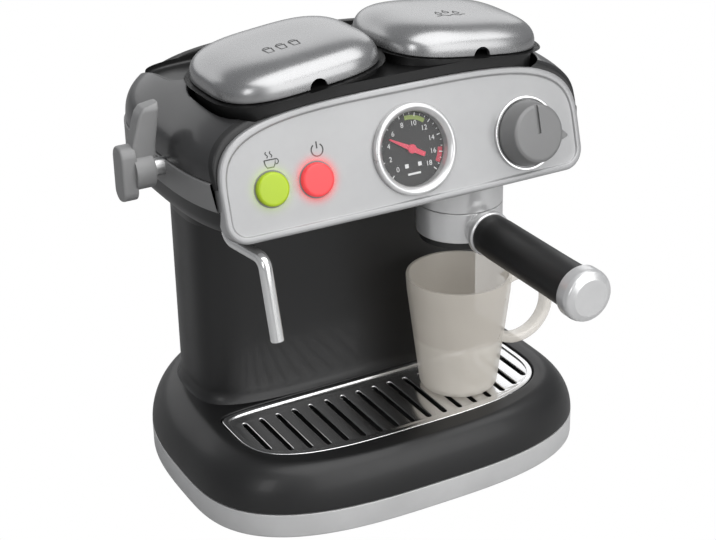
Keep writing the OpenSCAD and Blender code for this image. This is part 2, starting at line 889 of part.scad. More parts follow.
plug_r = 5;
valve_r = 8;
valve_z0 = -33;
valve_z1 = -13;
valve_mid_z = (valve_z0 + valve_z1) / 2;

module knob_shaft() {
    color("#b8babd")
    on_face(knob_x, control_v) translate([0, 0, valve_z1 + 1])
        cylinder(r = shaft_r, h = knob_h - 4 - valve_z1);
}

// A point in the panel's frame, and one at depth z in the frame of the face at distance x
function panel_point(x, y, z) =
    [x, -panel_front + y * sin(panel_tilt) - z * cos(panel_tilt),
        panel_z + y * cos(panel_tilt) + z * sin(panel_tilt)];
function face_point(x, y, z) =
    let (a = asin(x / panel_bend_r))
    panel_point(x + z * sin(a), y, -bow_at(x) - panel_rim_h + z * cos(a));

// Where the water ways meet in the valve and at the spout
valve_mid = face_point(knob_x, control_v, valve_mid_z);
spout_joint = [group_x, group_y, group_top + 9];
tube_dir = (spout_joint - valve_mid) / norm(spout_joint - valve_mid);

module valve_body() {
    color("#d9d9d2")
    difference() {
        union() {
            on_face(knob_x, control_v) translate([0, 0, valve_z0])
                cylinder(r = valve_r, h = valve_z1 - valve_z0);
            on_face(knob_x, control_v) translate([0, 0, valve_z1 - 1])
                cylinder(r = plug_r + 1.2, h = -valve_z1 - 2.05);
            rod(valve_mid + tube_dir * 6, valve_mid + tube_dir * 12, 2.8);
        }
        on_face(knob_x, control_v) translate([0, 0, valve_z0 + 2])
            cylinder(r = plug_r + run_gap, h = valve_z1 - valve_z0 - 2);
        on_face(knob_x, control_v) translate([0, 0, valve_z1 - 1])
            cylinder(r = shaft_r + run_gap, h = 20);
        rod(valve_mid, valve_mid + tube_dir * 20, 1.5);
    }
}

module valve_plug() {
    color("#e8e4d8")
    difference() {
        on_face(knob_x, control_v) translate([0, 0, valve_z0 + 2.3])
            cylinder(r = plug_r, h = valve_z1 - valve_z0 - 2.6);
        on_face(knob_x, control_v) translate([0, 0, valve_z1 - 1.5]) cylinder(r = shaft_r - 1, h = 4);
        rod(valve_mid - tube_dir * 20, valve_mid + tube_dir * 20, 1.5);
    }
}

module water_tube() {
    color("#e9e9e4")
    difference() {
        rod(valve_mid + tube_dir * 12, spout_joint - tube_dir * 4.8, 2.8);
        rod(valve_mid, spout_joint + tube_dir * 10, 1.8);
    }
}

module push_button(side) {
    face = 2.8;
    on_face(board_x, control_v) translate([side * button_pitch / 2, 0, 0]) union() {
        rotate_extrude()
            polygon([[0, -8], [button_r, -8], [button_r, face - 0.9], [button_r - 0.5, face - 0.3],
                [button_r - 1.4, face], [0, face]]);
        translate([0, 0, -8.8]) cylinder(r = button_r + 1.4, h = 1.6);
        translate([0, 0, board_z + board_t + 3.6 + button_travel]) cylinder(r = 2, h = 4);
    }
}

module green_button() {
    color("#a8c82e") push_button(-1);
}

module red_button() {
    color("#f4565a") push_button(1);
}

module circuit_board() {
    color("#2f6b3c")
    on_face(board_x, control_v) block([-24, -9, board_z], [25, 13, board_z + board_t]);
}

module tact_switches() {
    z0 = board_z + board_t;
    color("#1c1c1e")
    on_face(board_x, control_v) for (x = [-1, 1] * button_pitch / 2)
        union() {
            block([x - 3, -3, z0], [x + 3, 3, z0 + 2.4]);
            translate([x, 0, z0 + 2.4]) cylinder(r = 1.6, h = 0.9);
        }
}

module leds() {
    z0 = board_z + board_t;
    color("#f4e8d8")
    on_face(board_x, control_v) for (x = [-1, 1] * button_pitch / 2)
        translate([x, 5.6, z0]) union() {
            cylinder(r = 1.5, h = 1.8);
            translate([0, 0, 1.8]) sphere(r = 1.5);
        }
}

/* ---- Group, filter holder and handle ---- */

module at_group() {
    translate([group_x, group_y, 0]) children();
}

module group_head() {
    color("#c9cbce")
    at_group() tube(group_r, neck_r + run_gap, holder_top + seam, group_top);
}

module spout_nozzle() {
    color("#2a2a2c")
    difference() {
        union() {
            at_group() tube(nozzle_r, 1.6, spout_z - 2, group_top + 14);
            rod(spout_joint - tube_dir * 3, spout_joint - tube_dir * 4.8, 2.8);
        }
        rod(spout_joint, spout_joint - tube_dir * 20, 1.6);
    }
}

module filter_holder() {
    color("#c9cbce")
    difference() {
        at_group() union() {
            tube(group_r, neck_r - 2.5, spout_z, holder_top);
            tube(neck_r, neck_r - 2.5, holder_top - 0.1, group_top - 1);
        }
        along_handle() cylinder(r = 4.03, h = 40);
    }
}

module filter_basket() {
    color("#1c1c1e")
    at_group() difference() {
        union() {
            translate([0, 0, spout_z - basket_h]) cylinder(r = group_r - 1.3, h = basket_h);
            translate([0, 0, spout_z - 0.1]) cylinder(r = neck_r - 2.5 - 0.02, h = 2);
        }
        translate([0, 0, spout_z - basket_h - 1]) cylinder(r = nozzle_r + seam, h = 12);
        translate([0, 0, spout_z - basket_h - 1]) cylinder(r = 9, h = basket_h - 0.4);
    }
}

// Turns a profile about the handle's axis, which points to the front
module along_handle() {
    translate([group_x, group_y, handle_z]) rotate([90, 0, 0]) children();
}

collar_z = group_r - 3;
grip_z = group_r + collar_len;

module handle_collar() {
    color("#d4d6d9")
    difference() {
        along_handle() rotate_extrude()
            polygon([[0, collar_z], [handle_r - 1.4, collar_z], [handle_r - 1.4, group_r + 2],
                [handle_r + 0.7, group_r + 4], [handle_r + 0.7, grip_z - 0.6], [handle_r + 0.1, grip_z],
                    [0, grip_z]]);
        at_group() translate([0, 0, spout_z - 20]) cylinder(r = group_r + 0.01, h = 60);
        along_handle() cylinder(r = 4.02, h = 60);
    }
}

module filter_handle() {
    z1 = handle_reach - cap_len;
    color("#1f1f21")
    along_handle() union() {
        translate([0, 0, group_r - 6]) cylinder(r = 4, h = z1 - group_r);
        rotate_extrude()
            polygon([[0, grip_z], [handle_r - 0.3, grip_z], [handle_r, grip_z + 8], [handle_r, z1 - 20],
                [handle_r + 0.3, z1], [0, z1]]);
    }
}

module handle_end_cap() {
    z0 = handle_reach - cap_len;
    r = handle_r + 2;
    color("#d4d6d9")
    along_handle() rotate_extrude()
        polygon(concat([[0, z0], [r - 0.4, z0], [r, z0 + 0.5], [r, z0 + 5]],
            [for (i = [1:6]) let (a = 90 * i / 6) [r - 3 + 3 * cos(a), z0 + 5 + 3.5 * sin(a)]],
            [[r - 3.4, z0 + cap_len - 0.2], [0, z0 + cap_len]]));
}

/* ---- Steam lever and wand ---- */

module about_lever() {
    translate([0, lever_y, lever_z]) children();
}

// Side view of the lever's arm, which leans in towards the case
function arm_plan(x0) =
    [[x0 - lever_w - 1, 6], [x0 - lever_w - 1, 11], [x0 - lever_w + 3, lever_arm - 5],
        [x0 - lever_w + 5.3, lever_arm - 2], [x0 - 0.5, lever_arm - 0.5], [x0 - 0.5, lever_arm - 3.5],
        [x0 - 3, 11], [x0 - 3, 6]];

module steam_lever() {
    x0 = -lever_x;
    arm_r = 4;
    plate_end = lever_r + 0.4 - 5.5;
    color("#8f9092")
    difference() {
        about_lever() union() {
            translate([x0 - lever_w - 0.1, 0, 0]) rotate([0, 90, 0])
                cylinder(r = lever_hub_r, h = lever_w - lever_stand + 0.1);
            block([x0 - lever_w - lever_plate, -5.5, -plate_end], [x0 - lever_w, 5.5, plate_end]);
            for (s = [-1, 1])
                translate([x0 - lever_w - lever_plate, 0, s * plate_end]) rotate([0, 90, 0])
                    cylinder(r = 5.5, h = lever_plate);
            intersection() {
                rotate([90, 0, 0]) translate([0, 0, -arm_r]) linear_extrude(2 * arm_r)
                    polygon(arm_plan(x0));
                union() {
                    block([x0 - 20, -arm_r, 0], [x0, arm_r, lever_arm - arm_r]);
                    translate([x0 - 20, 0, lever_arm - arm_r]) rotate([0, 90, 0])
                        cylinder(r = arm_r, h = 20);
                }
            }
        }
        about_lever() translate([x0 - lever_w + 1, 0, 0]) rotate([0, 90, 0])
            cylinder(r = lever_shaft_r + 0.02, h = 40);
    }
}

bush_x = head_half - wall - 0.9;
bush_len = 12;

module lever_shaft() {
    inner_x = -bush_x + bush_len + seam;
    color("#b8babd")
    about_lever() union() {
        translate([-lever_x - lever_w + 1, 0, 0]) rotate([0, 90, 0])
            cylinder(r = lever_shaft_r, h = inner_x + 2 + lever_x + lever_w - 1);
        translate([inner_x, 0, 0]) rotate([0, 90, 0]) cylinder(r = lever_shaft_r + 2, h = 2);
    }
}

module lever_bush() {
    color("#e8e4d8")
    about_lever() translate([-bush_x, 0, 0]) rotate([0, 90, 0])
        tube(lever_shaft_r + 2.5, lever_shaft_r + run_gap, 0, bush_len);
}

socket_r = 6.5;

module at_wand() {
    translate([wand_x, wand_y, 0]) rotate([0, 0, wand_turn]) children();
}

module wand_socket() {
    color("#2a2a2c")
    at_wand() tube(socket_r, wand_r + run_gap, wand_run_z + wand_bend + 0.3, wand_seat);
}

module steam_wand() {
    top = wand_seat + 5.2;
    color("#dcdee0")
    at_wand() difference() {
        union() {
            translate([0, 0, wand_run_z + wand_bend])
                cylinder(r = wand_r, h = top - wand_run_z - wand_bend);
            translate([0, 0, wand_seat + 2.4 + seam]) cylinder(r = wand_r + 2, h = 1.8);
            translate([0, -wand_bend, wand_run_z + wand_bend]) rotate([90, 0, 90]) rotate([0, 0, -90])
                rotate_extrude(angle = 90) translate([wand_bend, 0]) circle(r = wand_r);
            translate([0, -wand_bend, wand_run_z]) rotate([90, 0, 0]) cylinder(r = wand_r, h = wand_run);
            translate([0, -wand_bend - wand_run, wand_run_z - wand_bend]) rotate([90, 0, 90])
                rotate([0, 0, 90]) rotate_extrude(angle = 90 - wand_lean) translate([wand_bend, 0])
                    circle(r = wand_r);
            wand_lower() translate([0, 0, -0.1]) cylinder(r = wand_r + 0.02, h = wand_drop + 0.1);
        }
        wand_lower() translate([0, 0, wand_drop - 10]) cylinder(r = wand_r - 1.1, h = 20);
    }
}

// Frame at the lower end of the wand's bend, with z down the pipe
module wand_lower() {
    translate([0, -wand_bend - wand_run - wand_bend * cos(wand_lean),
        wand_run_z - wand_bend + wand_bend * sin(wand_lean)])
        rotate([180 - wand_lean, 0, 0]) children();
}

/* ---- Cup ---- */

// Rounding between the cup's floor and side, r = 4.5 outside
function cup_corner(r) =
    [for (i = [0:6]) let (a = 15 * i) [cup_foot_r - 4.5 + r * sin(a), 4.5 - r * cos(a)]];

// Inside of the cup, open upwards
function cup_inside(rise) =
    concat([[0, 4.5 - 2.7]], cup_corner(2.7), [[cup_r - cup_wall - 0.5, cup_h - 8],
        [cup_r - cup_wall, cup_h], [cup_r - cup_wall, cup_h + rise], [0, cup_h + rise]]);

module cup() {
    loop_r = 19.5;
    loop_x = cup_r + cup_handle_reach - loop_r;
    color([0.72, 0.68, 0.63, 0.6])
    translate([group_x, group_y, grille_top]) difference() {
        union() {
            rotate_extrude()
                polygon(concat([[0, 0]], cup_corner(4.5),
                    [[cup_r - 0.5, cup_h - 8], [cup_r, cup_h], [0, cup_h]]));
            translate([loop_x, 0, cup_h * 0.57]) rotate([90, 0, 0]) tube(loop_r, loop_r - 4.8, -3.5, 3.5);
        }
        rotate_extrude() polygon(cup_inside(20));
    }
}

/* ---- Screws ---- */

module case_screws() {
    color("#8a8c90") {
        for (p = base_screw_spots)
            translate([p[0], p[1], foot_h]) union() {
                cylinder(r = screw_head_r, h = 1.2);
                cylinder(r = screw_r, h = 13);
            }
        for (p = rear_screw_spots)
            translate([p[0], rear_face(p[0]) - 0.2, p[1]]) rotate([90, 0, 0]) union() {
                cylinder(r = screw_head_r, h = 1.7);
                cylinder(r = screw_r, h = 14);
            }
        translate([0, bay_y - bay_d / 2 + 5, foot_h]) union() {
            cylinder(r = screw_head_r, h = 1);
            cylinder(r = screw_r, h = floor_t - 0.4);
        }
    }
}

feet();
base_plate();
base_shell();
drip_pan();
drip_grille();
column_shell();
rear_cover();
head_lower_shell();
side_band();
head_upper_shell();
top_deck();
control_panel();
gauge_bezel();
gauge_dial();
gauge_needle();
gauge_lens();
knob_ring();
control_knob();
knob_shaft();
valve_body();
valve_plug();
green_button();
red_button();
circuit_board();
tact_switches();
leds();
speaker();
battery_box();
batteries();
battery_contacts();
battery_cover();
case_screws();
water_tank();
water_tube();
pod_tray();
group_head();
spout_nozzle();
filter_holder();
filter_basket();
handle_collar();
filter_handle();
handle_end_cap();
steam_lever();
lever_shaft();
lever_bush();
wand_socket();
steam_wand();
left_lid();
right_lid();
lid_hinge_pins();
cup();
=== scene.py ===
import math

import bmesh
import bpy
import numpy as np
from mathutils import Matrix, Vector


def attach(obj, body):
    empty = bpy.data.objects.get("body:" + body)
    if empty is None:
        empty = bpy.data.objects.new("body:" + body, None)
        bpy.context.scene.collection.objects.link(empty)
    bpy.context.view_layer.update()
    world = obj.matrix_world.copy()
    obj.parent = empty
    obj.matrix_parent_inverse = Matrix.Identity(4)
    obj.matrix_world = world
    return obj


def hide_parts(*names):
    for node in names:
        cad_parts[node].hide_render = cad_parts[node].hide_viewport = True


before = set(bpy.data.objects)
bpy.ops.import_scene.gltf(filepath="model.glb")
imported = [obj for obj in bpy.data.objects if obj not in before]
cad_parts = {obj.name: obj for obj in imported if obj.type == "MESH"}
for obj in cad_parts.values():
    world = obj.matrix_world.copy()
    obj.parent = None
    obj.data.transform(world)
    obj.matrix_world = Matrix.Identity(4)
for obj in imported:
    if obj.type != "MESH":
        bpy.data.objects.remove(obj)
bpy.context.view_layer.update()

scene = bpy.context.scene
turn = 2 * math.pi
mm = 0.001


# Outlines. All lengths are in millimetres until a mesh is made.

def fullTurn(count):
    return np.linspace(0, turn, count, endpoint=False)


def signedPower(value, power):
    return np.sign(value) * np.abs(value) ** power


def superPlan(halfWidth, front, rear, squareFront, squareRear, y=0.0):
    # superellipse with its own reach and squareness to the front and to the rear
    def plan(angles, inset=0.0):
        c, s = np.cos(angles), np.sin(angles)
        square = np.where(s < 0, squareFront, squareRear)
        reach = np.where(s < 0, front, rear) - inset
        return np.stack([(halfWidth - inset) * signedPower(c, 2 / square),
                         y + reach * signedPower(s, 2 / square)], 1)
    return plan


def superSum(x, y, half, deep, square):
    # below one inside a superellipse, and above one outside it
    return (np.abs(x) / half) ** square + (np.abs(y) / deep) ** square


def evenAngles(plan, count, first=0.0, last=turn, closed=True):
    # angles that part the outline into equal lengths
    dense = np.linspace(first, last, 24001)
    steps = np.hypot(*np.diff(plan(dense), axis=0).T)
    length = np.concatenate([[0.0], np.cumsum(steps)])
    wanted = np.linspace(0, length[-1], count, endpoint=not closed)
    return np.interp(wanted, length, dense)


def atHeight(points, z):
    return np.column_stack([points, np.full(len(points), float(z))])


def mixRings(a, b, share):
    return a * (1 - share) + b * share


def roundPath(corners, steps=5):
    # a corner given as (a, b, radius) turns into a short arc, drawn as a parabola
    path = []
    for i, corner in enumerate(corners):
        here = np.array(corner[:2], float)
        if len(corner) < 3 or i in (0, len(corners) - 1):
            path.append(here)
            continue
        before = np.array(corners[i - 1][:2], float)
        after = np.array(corners[i + 1][:2], float)
        reachIn, reachOut = np.linalg.norm(before - here), np.linalg.norm(after - here)
        start = here + (before - here) * min(corner[2] / reachIn, 0.5)
        end = here + (after - here) * min(corner[2] / reachOut, 0.5)
        for t in np.linspace(0, 1, steps):
            path.append(start * (1 - t) ** 2 + 2 * here * t * (1 - t) + end * t * t)
    return np.array(path)


def rings(plan, angles, corners, steps=5):
    # the outline at each (inset, height) of a path
    return [atHeight(plan(angles, inset), z) for inset, z in roundPath(corners, steps)]


def smoothRows(table, count):
    # monotone curve through the rows of a table, so nothing overshoots
    table = np.array(table, float)
    step = np.diff(table, axis=0)
    slope = np.zeros_like(table)
    left, right = step[:-1], step[1:]
    same = left * right > 0
    slope[1:-1] = np.where(same, 2 * left * right / np.where(same, left + right, 1), 0)
    slope[0], slope[-1] = step[0], step[-1]
    rows = []
    for u in np.linspace(0, len(table) - 1, count):
        i = min(int(u), len(table) - 2)
        t = u - i
        rows.append(table[i] * (2 * t ** 3 - 3 * t ** 2 + 1) + slope[i] * (t ** 3 - 2 * t ** 2 + t)
                    + table[i + 1] * (3 * t ** 2 - 2 * t ** 3) + slope[i + 1] * (t ** 3 - t ** 2))
    return np.array(rows)


# Frames: an origin and three axes as rows.

def place(points, origin, axes):
    return np.asarray(origin) + np.asarray(points) @ np.asarray(axes)


upright = np.eye(3)
panelTilt = math.radians(15.7)
panelOrigin = np.array([0, -40.5, 169.3])
panelOut = np.array([0, -math.cos(panelTilt), math.sin(panelTilt)])
panelUp = np.array([0, math.sin(panelTilt), math.cos(panelTilt)])
panelHalf, panelBow, panelDepth, rimHeight = 90.3, 3.1, 7.3, 0.9
panelRise, panelMiddle, panelSquare, panelCorner, cornerMiddle = 36, -7, 3.55, 10, -15
bendRadius = (panelHalf ** 2 + panelBow ** 2) / (2 * panelBow)


def bowAt(x):
    return bendRadius - np.sqrt(bendRadius ** 2 - np.square(x))


def faceFrame(x, y=0.0, across=0.0):
    # frame on the panel's bowed face: x to the right, y up the panel, z out of it
    angle = math.asin(x / bendRadius)
    sideways = np.array([math.cos(angle), 0, 0]) - panelOut * math.sin(angle)
    outward = np.array([math.sin(angle), 0, 0]) + panelOut * math.cos(angle)
    origin = panelOrigin + [x, 0, 0] + panelUp * y - panelOut * (bowAt(x) + rimHeight)
    return origin + sideways * across, np.array([sideways, panelUp, outward])


def panelOutline(inset):
    # superellipse above, straight below, with round lower corners
    upper = np.linspace(0, math.pi, 4001)
    half, up = panelHalf - inset, panelRise - inset
    top = np.stack([half * signedPower(np.cos(upper), 2 / panelSquare),
                    panelMiddle + up * np.sin(upper) ** (2 / panelSquare)], 1)
    reach = panelCorner - inset
    low = np.linspace(math.pi, 1.5 * math.pi, 200)
    left = np.stack([-(panelHalf - panelCorner) + reach * np.cos(low), cornerMiddle + reach * np.sin(low)], 1)
    line = np.linspace(left[-1], [panelHalf - panelCorner, left[-1][1]], 800)[1:-1]
    rightCorner = left[::-1] * [-1, 1]
    return np.concatenate([top, left, line, rightCorner])


lidX, lidBase, lidLean = 40.5, 202.6, 6.3


def lidFrame(side):
    lean = math.radians(lidLean) * side
    axes = np.array([[math.cos(lean), 0, -math.sin(lean)], [0, 1, 0], [math.sin(lean), 0, math.cos(lean)]])
    return np.array([side * lidX, 0, lidBase]), axes


# Meshes

class Builder:
    def __init__(self):
        self.points = []
        self.faces = []
        self.size = 0

    def add(self, points, faces):
        self.points.append(np.asarray(points, float).reshape(-1, 3))
        self.faces += [[v + self.size for v in face] for face in faces]
        self.size += len(self.points[-1])
        return self

    # skin through rows of points, closed around unless wrap is off
    def skin(self, rows, wrap=True, caps=False, loop=False):
        rows = np.asarray(rows, float)
        count, around = rows.shape[:2]
        faces = []
        for j in range(count if loop else count - 1):
            k = (j + 1) % count
            for i in range(around if wrap else around - 1):
                n = (i + 1) % around
                faces.append([j * around + i, j * around + n, k * around + n, k * around + i])
        if caps:
            faces.append(list(range(around - 1, -1, -1)))
            faces.append([(count - 1) * around + i for i in range(around)])
        return self.add(rows.reshape(-1, 3), faces)

    # profile of (radius, height) turned about the frame's z axis
    def spin(self, profile, origin=(0, 0, 0), axes=upright, count=128, shape=None):
        angles = fullTurn(count)
        rows = []
        for r, z in profile:
            reach = np.full(count, max(r, 1e-4)) if shape is None else shape(angles, r, z)
            ring = np.stack([reach * np.cos(angles), reach * np.sin(angles), np.full(count, z)], 1)
            rows.append(place(ring, origin, axes))
        return self.skin(rows)

    # round pipe along a line of points, open at both ends
    def pipe(self, line, radius, count):
        ahead = np.gradient(line, axis=0)
        ahead /= np.linalg.norm(ahead, axis=1)[:, None]
        side = np.cross(ahead[0], [0.31, 0.17, 0.93])
        rows = []
        angles = fullTurn(count)
        for p, d in zip(line, ahead):
            side = side - d * (side @ d)
            side /= np.linalg.norm(side)
            other = np.cross(d, side)
            rows.append(p + radius * (np.outer(np.cos(angles), side) + np.outer(np.sin(angles), other)))
        return self.skin(rows)

    def box(self, low, high, origin=(0, 0, 0), axes=upright):
        corners = [[(low, high)[i][0], (low, high)[j][1], (low, high)[k][2]]
                   for k in (0, 1) for j in (0, 1) for i in (0, 1)]
        faces = [[0, 2, 3, 1], [4, 5, 7, 6], [0, 1, 5, 4], [2, 6, 7, 3], [0, 4, 6, 2], [1, 3, 7, 5]]
        return self.add(place(corners, origin, axes), faces)

    def mesh(self, name, smooth=35):
        mesh = bpy.data.meshes.new(name)
        mesh.from_pydata((np.concatenate(self.points) * mm).tolist(), [], self.faces)
        mesh.validate()
        finishMesh(mesh, smooth)
        return linked(name, mesh)


def linked(name, data):
    thing = bpy.data.objects.new(name, data)
    scene.collection.objects.link(thing)
    return thing


def softEdges(mesh, smooth):
    mesh.shade_smooth()
    mesh.set_sharp_from_angle(angle=math.radians(smooth))


def finishMesh(mesh, smooth):
    work = bmesh.new()
    work.from_mesh(mesh)
    bmesh.ops.remove_doubles(work, verts=work.verts, dist=1e-6)
    bmesh.ops.recalc_face_normals(work, faces=work.faces)
    work.to_mesh(mesh)
    work.free()
    softEdges(mesh, smooth)
    mesh.update()


# cuts away the front of a piece of the head, to make room for the panel
def trim(piece, smooth=35):
    work = bmesh.new()
    work.from_mesh(piece.data)
    bmesh.ops.bisect_plane(work, geom=work.verts[:] + work.edges[:] + work.faces[:], dist=1e-7,
                           plane_co=Vector(headGap) * mm, plane_no=Vector(panelOut), clear_outer=True)
    work.to_mesh(piece.data)
    work.free()
    softEdges(piece.data, smooth)
    piece.data.update()
    return piece


def evaluatedMesh(piece):
    return bpy.data.meshes.new_from_object(piece.evaluated_get(bpy.context.evaluated_depsgraph_get()))


# cuts a builder's shape out of a piece, or joins it on
def carve(piece, cutter, smooth=35, kind="DIFFERENCE"):
    tool = cutter.mesh(piece.name + "Tool")
    cut = piece.modifiers.new("cut", "BOOLEAN")
    cut.object, cut.operation, cut.solver = tool, kind, "EXACT"
    cut.use_self = True
    mesh = evaluatedMesh(piece)
    piece.modifiers.clear()
    piece.data = mesh
    bpy.data.objects.remove(tool)
    softEdges(piece.data, smooth)
    return piece


# turns a curve or words into a mesh, moved and then set in a frame
def curveMesh(curve, shift, origin=(0, 0, 0), axes=upright):
    holder = linked(curve.name, curve)
    mesh = evaluatedMesh(holder)
    bpy.data.objects.remove(holder)
    bpy.data.curves.remove(curve)
    points = np.zeros(len(mesh.vertices) * 3)
    mesh.vertices.foreach_get("co", points)
    points = points.reshape(-1, 3) / mm + shift
    mesh.vertices.foreach_set("co", (place(points, origin, axes) * mm).ravel())
    return mesh


# flat plate with holes, its edges rounded, from outlines in the plane
def plate(name, outlines, z0, z1, edge):
    curve = bpy.data.curves.new(name, "CURVE")
    curve.dimensions, curve.fill_mode = "2D", "BOTH"
    curve.extrude = max((z1 - z0) / 2 - edge, 0) * mm
    curve.bevel_depth, curve.bevel_resolution = edge * mm, 2
    for outline in outlines:
        line = curve.splines.new("POLY")
        line.points.add(len(outline) - 1)
        flat = np.column_stack([np.asarray(outline) * mm, np.zeros(len(outline)), np.ones(len(outline))])
        line.points.foreach_set("co", flat.ravel())
        line.use_cyclic_u = True
    mesh = curveMesh(curve, [0, 0, (z0 + z1) / 2])
    finishMesh(mesh, 35)
    return linked(name, mesh)


def settle(piece, look, slotName, body, *replaced):
    piece.data.materials.clear()
    piece.data.materials.append(look.material)
    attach(piece, body)
    if replaced:
        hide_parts(*replaced)


def turned(name, profile, origin, axes, count, *settings):
    settle(Builder().spin(profile, origin, axes, count).mesh(name), *settings)


def arcPoints(angles, radius, centre=(0, 0)):
    return np.column_stack([centre[0] + radius * np.cos(angles), centre[1] + radius * np.sin(angles)])


# Shader sockets

class Wire:
    def __init__(self, look, socket):
        self.look = look
        self.socket = socket

    def math(self, kind, other):
        node = self.look.tree.nodes.new("ShaderNodeMath")
        node.operation = kind
        for slot, value in zip(node.inputs, (self, other)):
            self.look.feed(slot, value)
        return Wire(self.look, node.outputs[0])

    def __add__(self, other):
        return self.math("ADD", other)

    def __sub__(self, other):
        return self.math("SUBTRACT", other)

    def __mul__(self, other):
        return self.math("MULTIPLY", other)

    def clamp(self, low, high, first=0.0, last=1.0):
        return self.look.node("ShaderNodeMapRange", "Result", Value=self,
                              **{"From Min": low, "From Max": high, "To Min": first, "To Max": last})


class Look:
    def __init__(self, name):
        self.material = bpy.data.materials.new(name)
        self.material.use_nodes = True
        self.tree = self.material.node_tree
        self.shader = self.tree.nodes["Principled BSDF"]

    def feed(self, slot, value):
        if isinstance(value, Wire):
            self.tree.links.new(value.socket, slot)
        else:
            slot.default_value = value

    def node(self, kind, output=0, settings=None, **inputs):
        node = self.tree.nodes.new(kind)
        for key, value in (settings or {}).items():
            setattr(node, key, value)
        for key, value in inputs.items():
            self.feed(node.inputs[key.replace("_", " ")], value)
        return Wire(self, node.outputs[output])

    def place(self):
        return self.node("ShaderNodeTexCoord", "Object")

    def noise(self, scale, detail=3.0, rough=0.5, where=None):
        return self.node("ShaderNodeTexNoise", "Fac", Vector=where or self.place(), Scale=scale,
                         Detail=detail, Roughness=rough)

    def mix(self, share, a, b):
        node = self.tree.nodes.new("ShaderNodeMix")
        node.data_type = "RGBA"
        self.feed(node.inputs["Factor"], share)
        self.feed(node.inputs["A"], a)
        self.feed(node.inputs["B"], b)
        return Wire(self, node.outputs["Result"])

    def bump(self, height, strength=0.2, distance=0.0002):
        self.set(Normal=self.node("ShaderNodeBump", "Normal", Height=height, Strength=strength,
                                  Distance=distance))

    def set(self, **values):
        for key, value in values.items():
            self.feed(self.shader.inputs[key.replace("_", " ")], value)


def shade(level, tint=(1, 1, 1)):
    return (level * tint[0], level * tint[1], level * tint[2], 1.0)


# Looks. Values are linear.

def plastic(name, level, rough, tint=(1, 1, 1), coat=0.0, metal=0.0, grain=900, depth=0.12):
    look = Look(name)
    cloud = look.noise(28, 4, 0.6)
    fine = look.noise(grain, 2, 0.5)
    look.set(Base_Color=look.mix(cloud.clamp(0.3, 0.7), shade(level * 0.93, tint), shade(level * 1.06, tint)),
             Roughness=cloud.clamp(0.25, 0.75, rough * 0.88, rough * 1.12) + (fine - 0.5) * 0.05,
             Metallic=metal, Coat_Weight=coat, Coat_Roughness=0.12)
    look.bump(fine, depth, 0.00004)
    return look


def metal(name, level, rough, brushed=None):
    look = Look(name)
    spot = look.place()
    if brushed:
        spot = look.node("ShaderNodeMapping", "Vector", Vector=spot, Scale=brushed)
    streak = look.noise(60, 5, 0.7, spot)
    smudge = look.noise(22, 3, 0.5)
    look.set(Base_Color=look.mix(streak.clamp(0.3, 0.7), shade(level * 0.94), shade(level)), Metallic=1.0,
             Roughness=smudge.clamp(0.3, 0.7, rough * 0.8, rough * 1.25) + (streak - 0.5) * 0.04)
    look.bump(streak, 0.05, 0.00003)
    return look


darkCase = plastic("DarkCase", 0.009, 0.42, (1, 1, 1.03), coat=0.1, metal=0.1)
# painted light: the head's top is the same black plastic as DarkCase, given a lighter colour for the light
# falling on its top
topCasePaintedLight = plastic("HeadTopCasePaintedLight", 0.03, 0.36, (1, 1, 1.03), coat=0.3, metal=0.1)
# painted shade: the deck is the case's black plastic, made darker than DarkCase for the shade inside the
# recess around the lids
deckBlackShaded = plastic("DeckBlackPaintedShade", 0.006, 0.42, coat=0.08)
silverPaint = plastic("SilverPaint", 0.36, 0.36, (1, 1.002, 1.01), coat=0.3, metal=0.35, grain=1600)
baseSilver = plastic("BaseSilver", 0.56, 0.38, metal=0.3, grain=1600)
lidSilver = plastic("LidSilver", 0.36, 0.27, (1, 1.002, 1.01), metal=0.85, grain=1600, depth=0.006)
bandGrey = plastic("BandGrey", 0.19, 0.42, metal=0.2)
leverGrey = plastic("LeverGrey", 0.22, 0.45, metal=0.15)
knobGrey = plastic("KnobGrey", 0.19, 0.42, metal=0.2)
gripBlack = plastic("GripBlack", 0.011, 0.42, depth=0.25)
panBlack = plastic("PanBlack", 0.012, 0.5, depth=0.2)
groupSilver = plastic("GroupSilver", 0.68, 0.3, metal=0.6, coat=0.2, depth=0.006)
brightTrim = plastic("BrightTrim", 0.8, 0.16, metal=0.8, coat=0.2, depth=0.008)
grilleChrome = metal("GrilleChrome", 0.85, 0.2, brushed=(3, 0.4, 1))
steel = metal("Steel", 0.6, 0.3)
screwSteel = metal("ScrewSteel", 0.5, 0.35)
footRubber = plastic("FootRubber", 0.015, 0.8, depth=0.5)
valveWhite = plastic("ValveWhite", 0.6, 0.5, (1, 1, 0.93))
cellGreen = plastic("CellGreen", 0.2, 0.35, (0.35, 1, 0.35))
boardGreen = plastic("BoardGreen", 0.12, 0.45, (0.25, 1, 0.4))
switchBlack = plastic("SwitchBlack", 0.01, 0.45)
dialBlack = plastic("DialBlack", 0.0055, 0.6)
printWhite = plastic("PrintWhite", 0.62, 0.6)
printDark = plastic("PrintDark", 0.05, 0.55)
printGreen = plastic("PrintGreen", 0.3, 0.5, (0.75, 1, 0.2))
printRed = plastic("PrintRed", 0.42, 0.5, (1, 0.06, 0.12))
needleRed = plastic("NeedleRed", 0.55, 0.4, (1, 0.05, 0.12))

greenCap = plastic("GreenCap", 0.52, 0.4, (0.72, 1, 0.02), coat=0.1)
greenCap.set(Emission_Color=(0.36, 0.5, 0.01, 1), Emission_Strength=0.06)
redCap = plastic("RedCap", 0.52, 0.4, (1, 0.08, 0.09), coat=0.1)
redCap.set(Emission_Color=(1, 0.06, 0.07, 1), Emission_Strength=0.4)

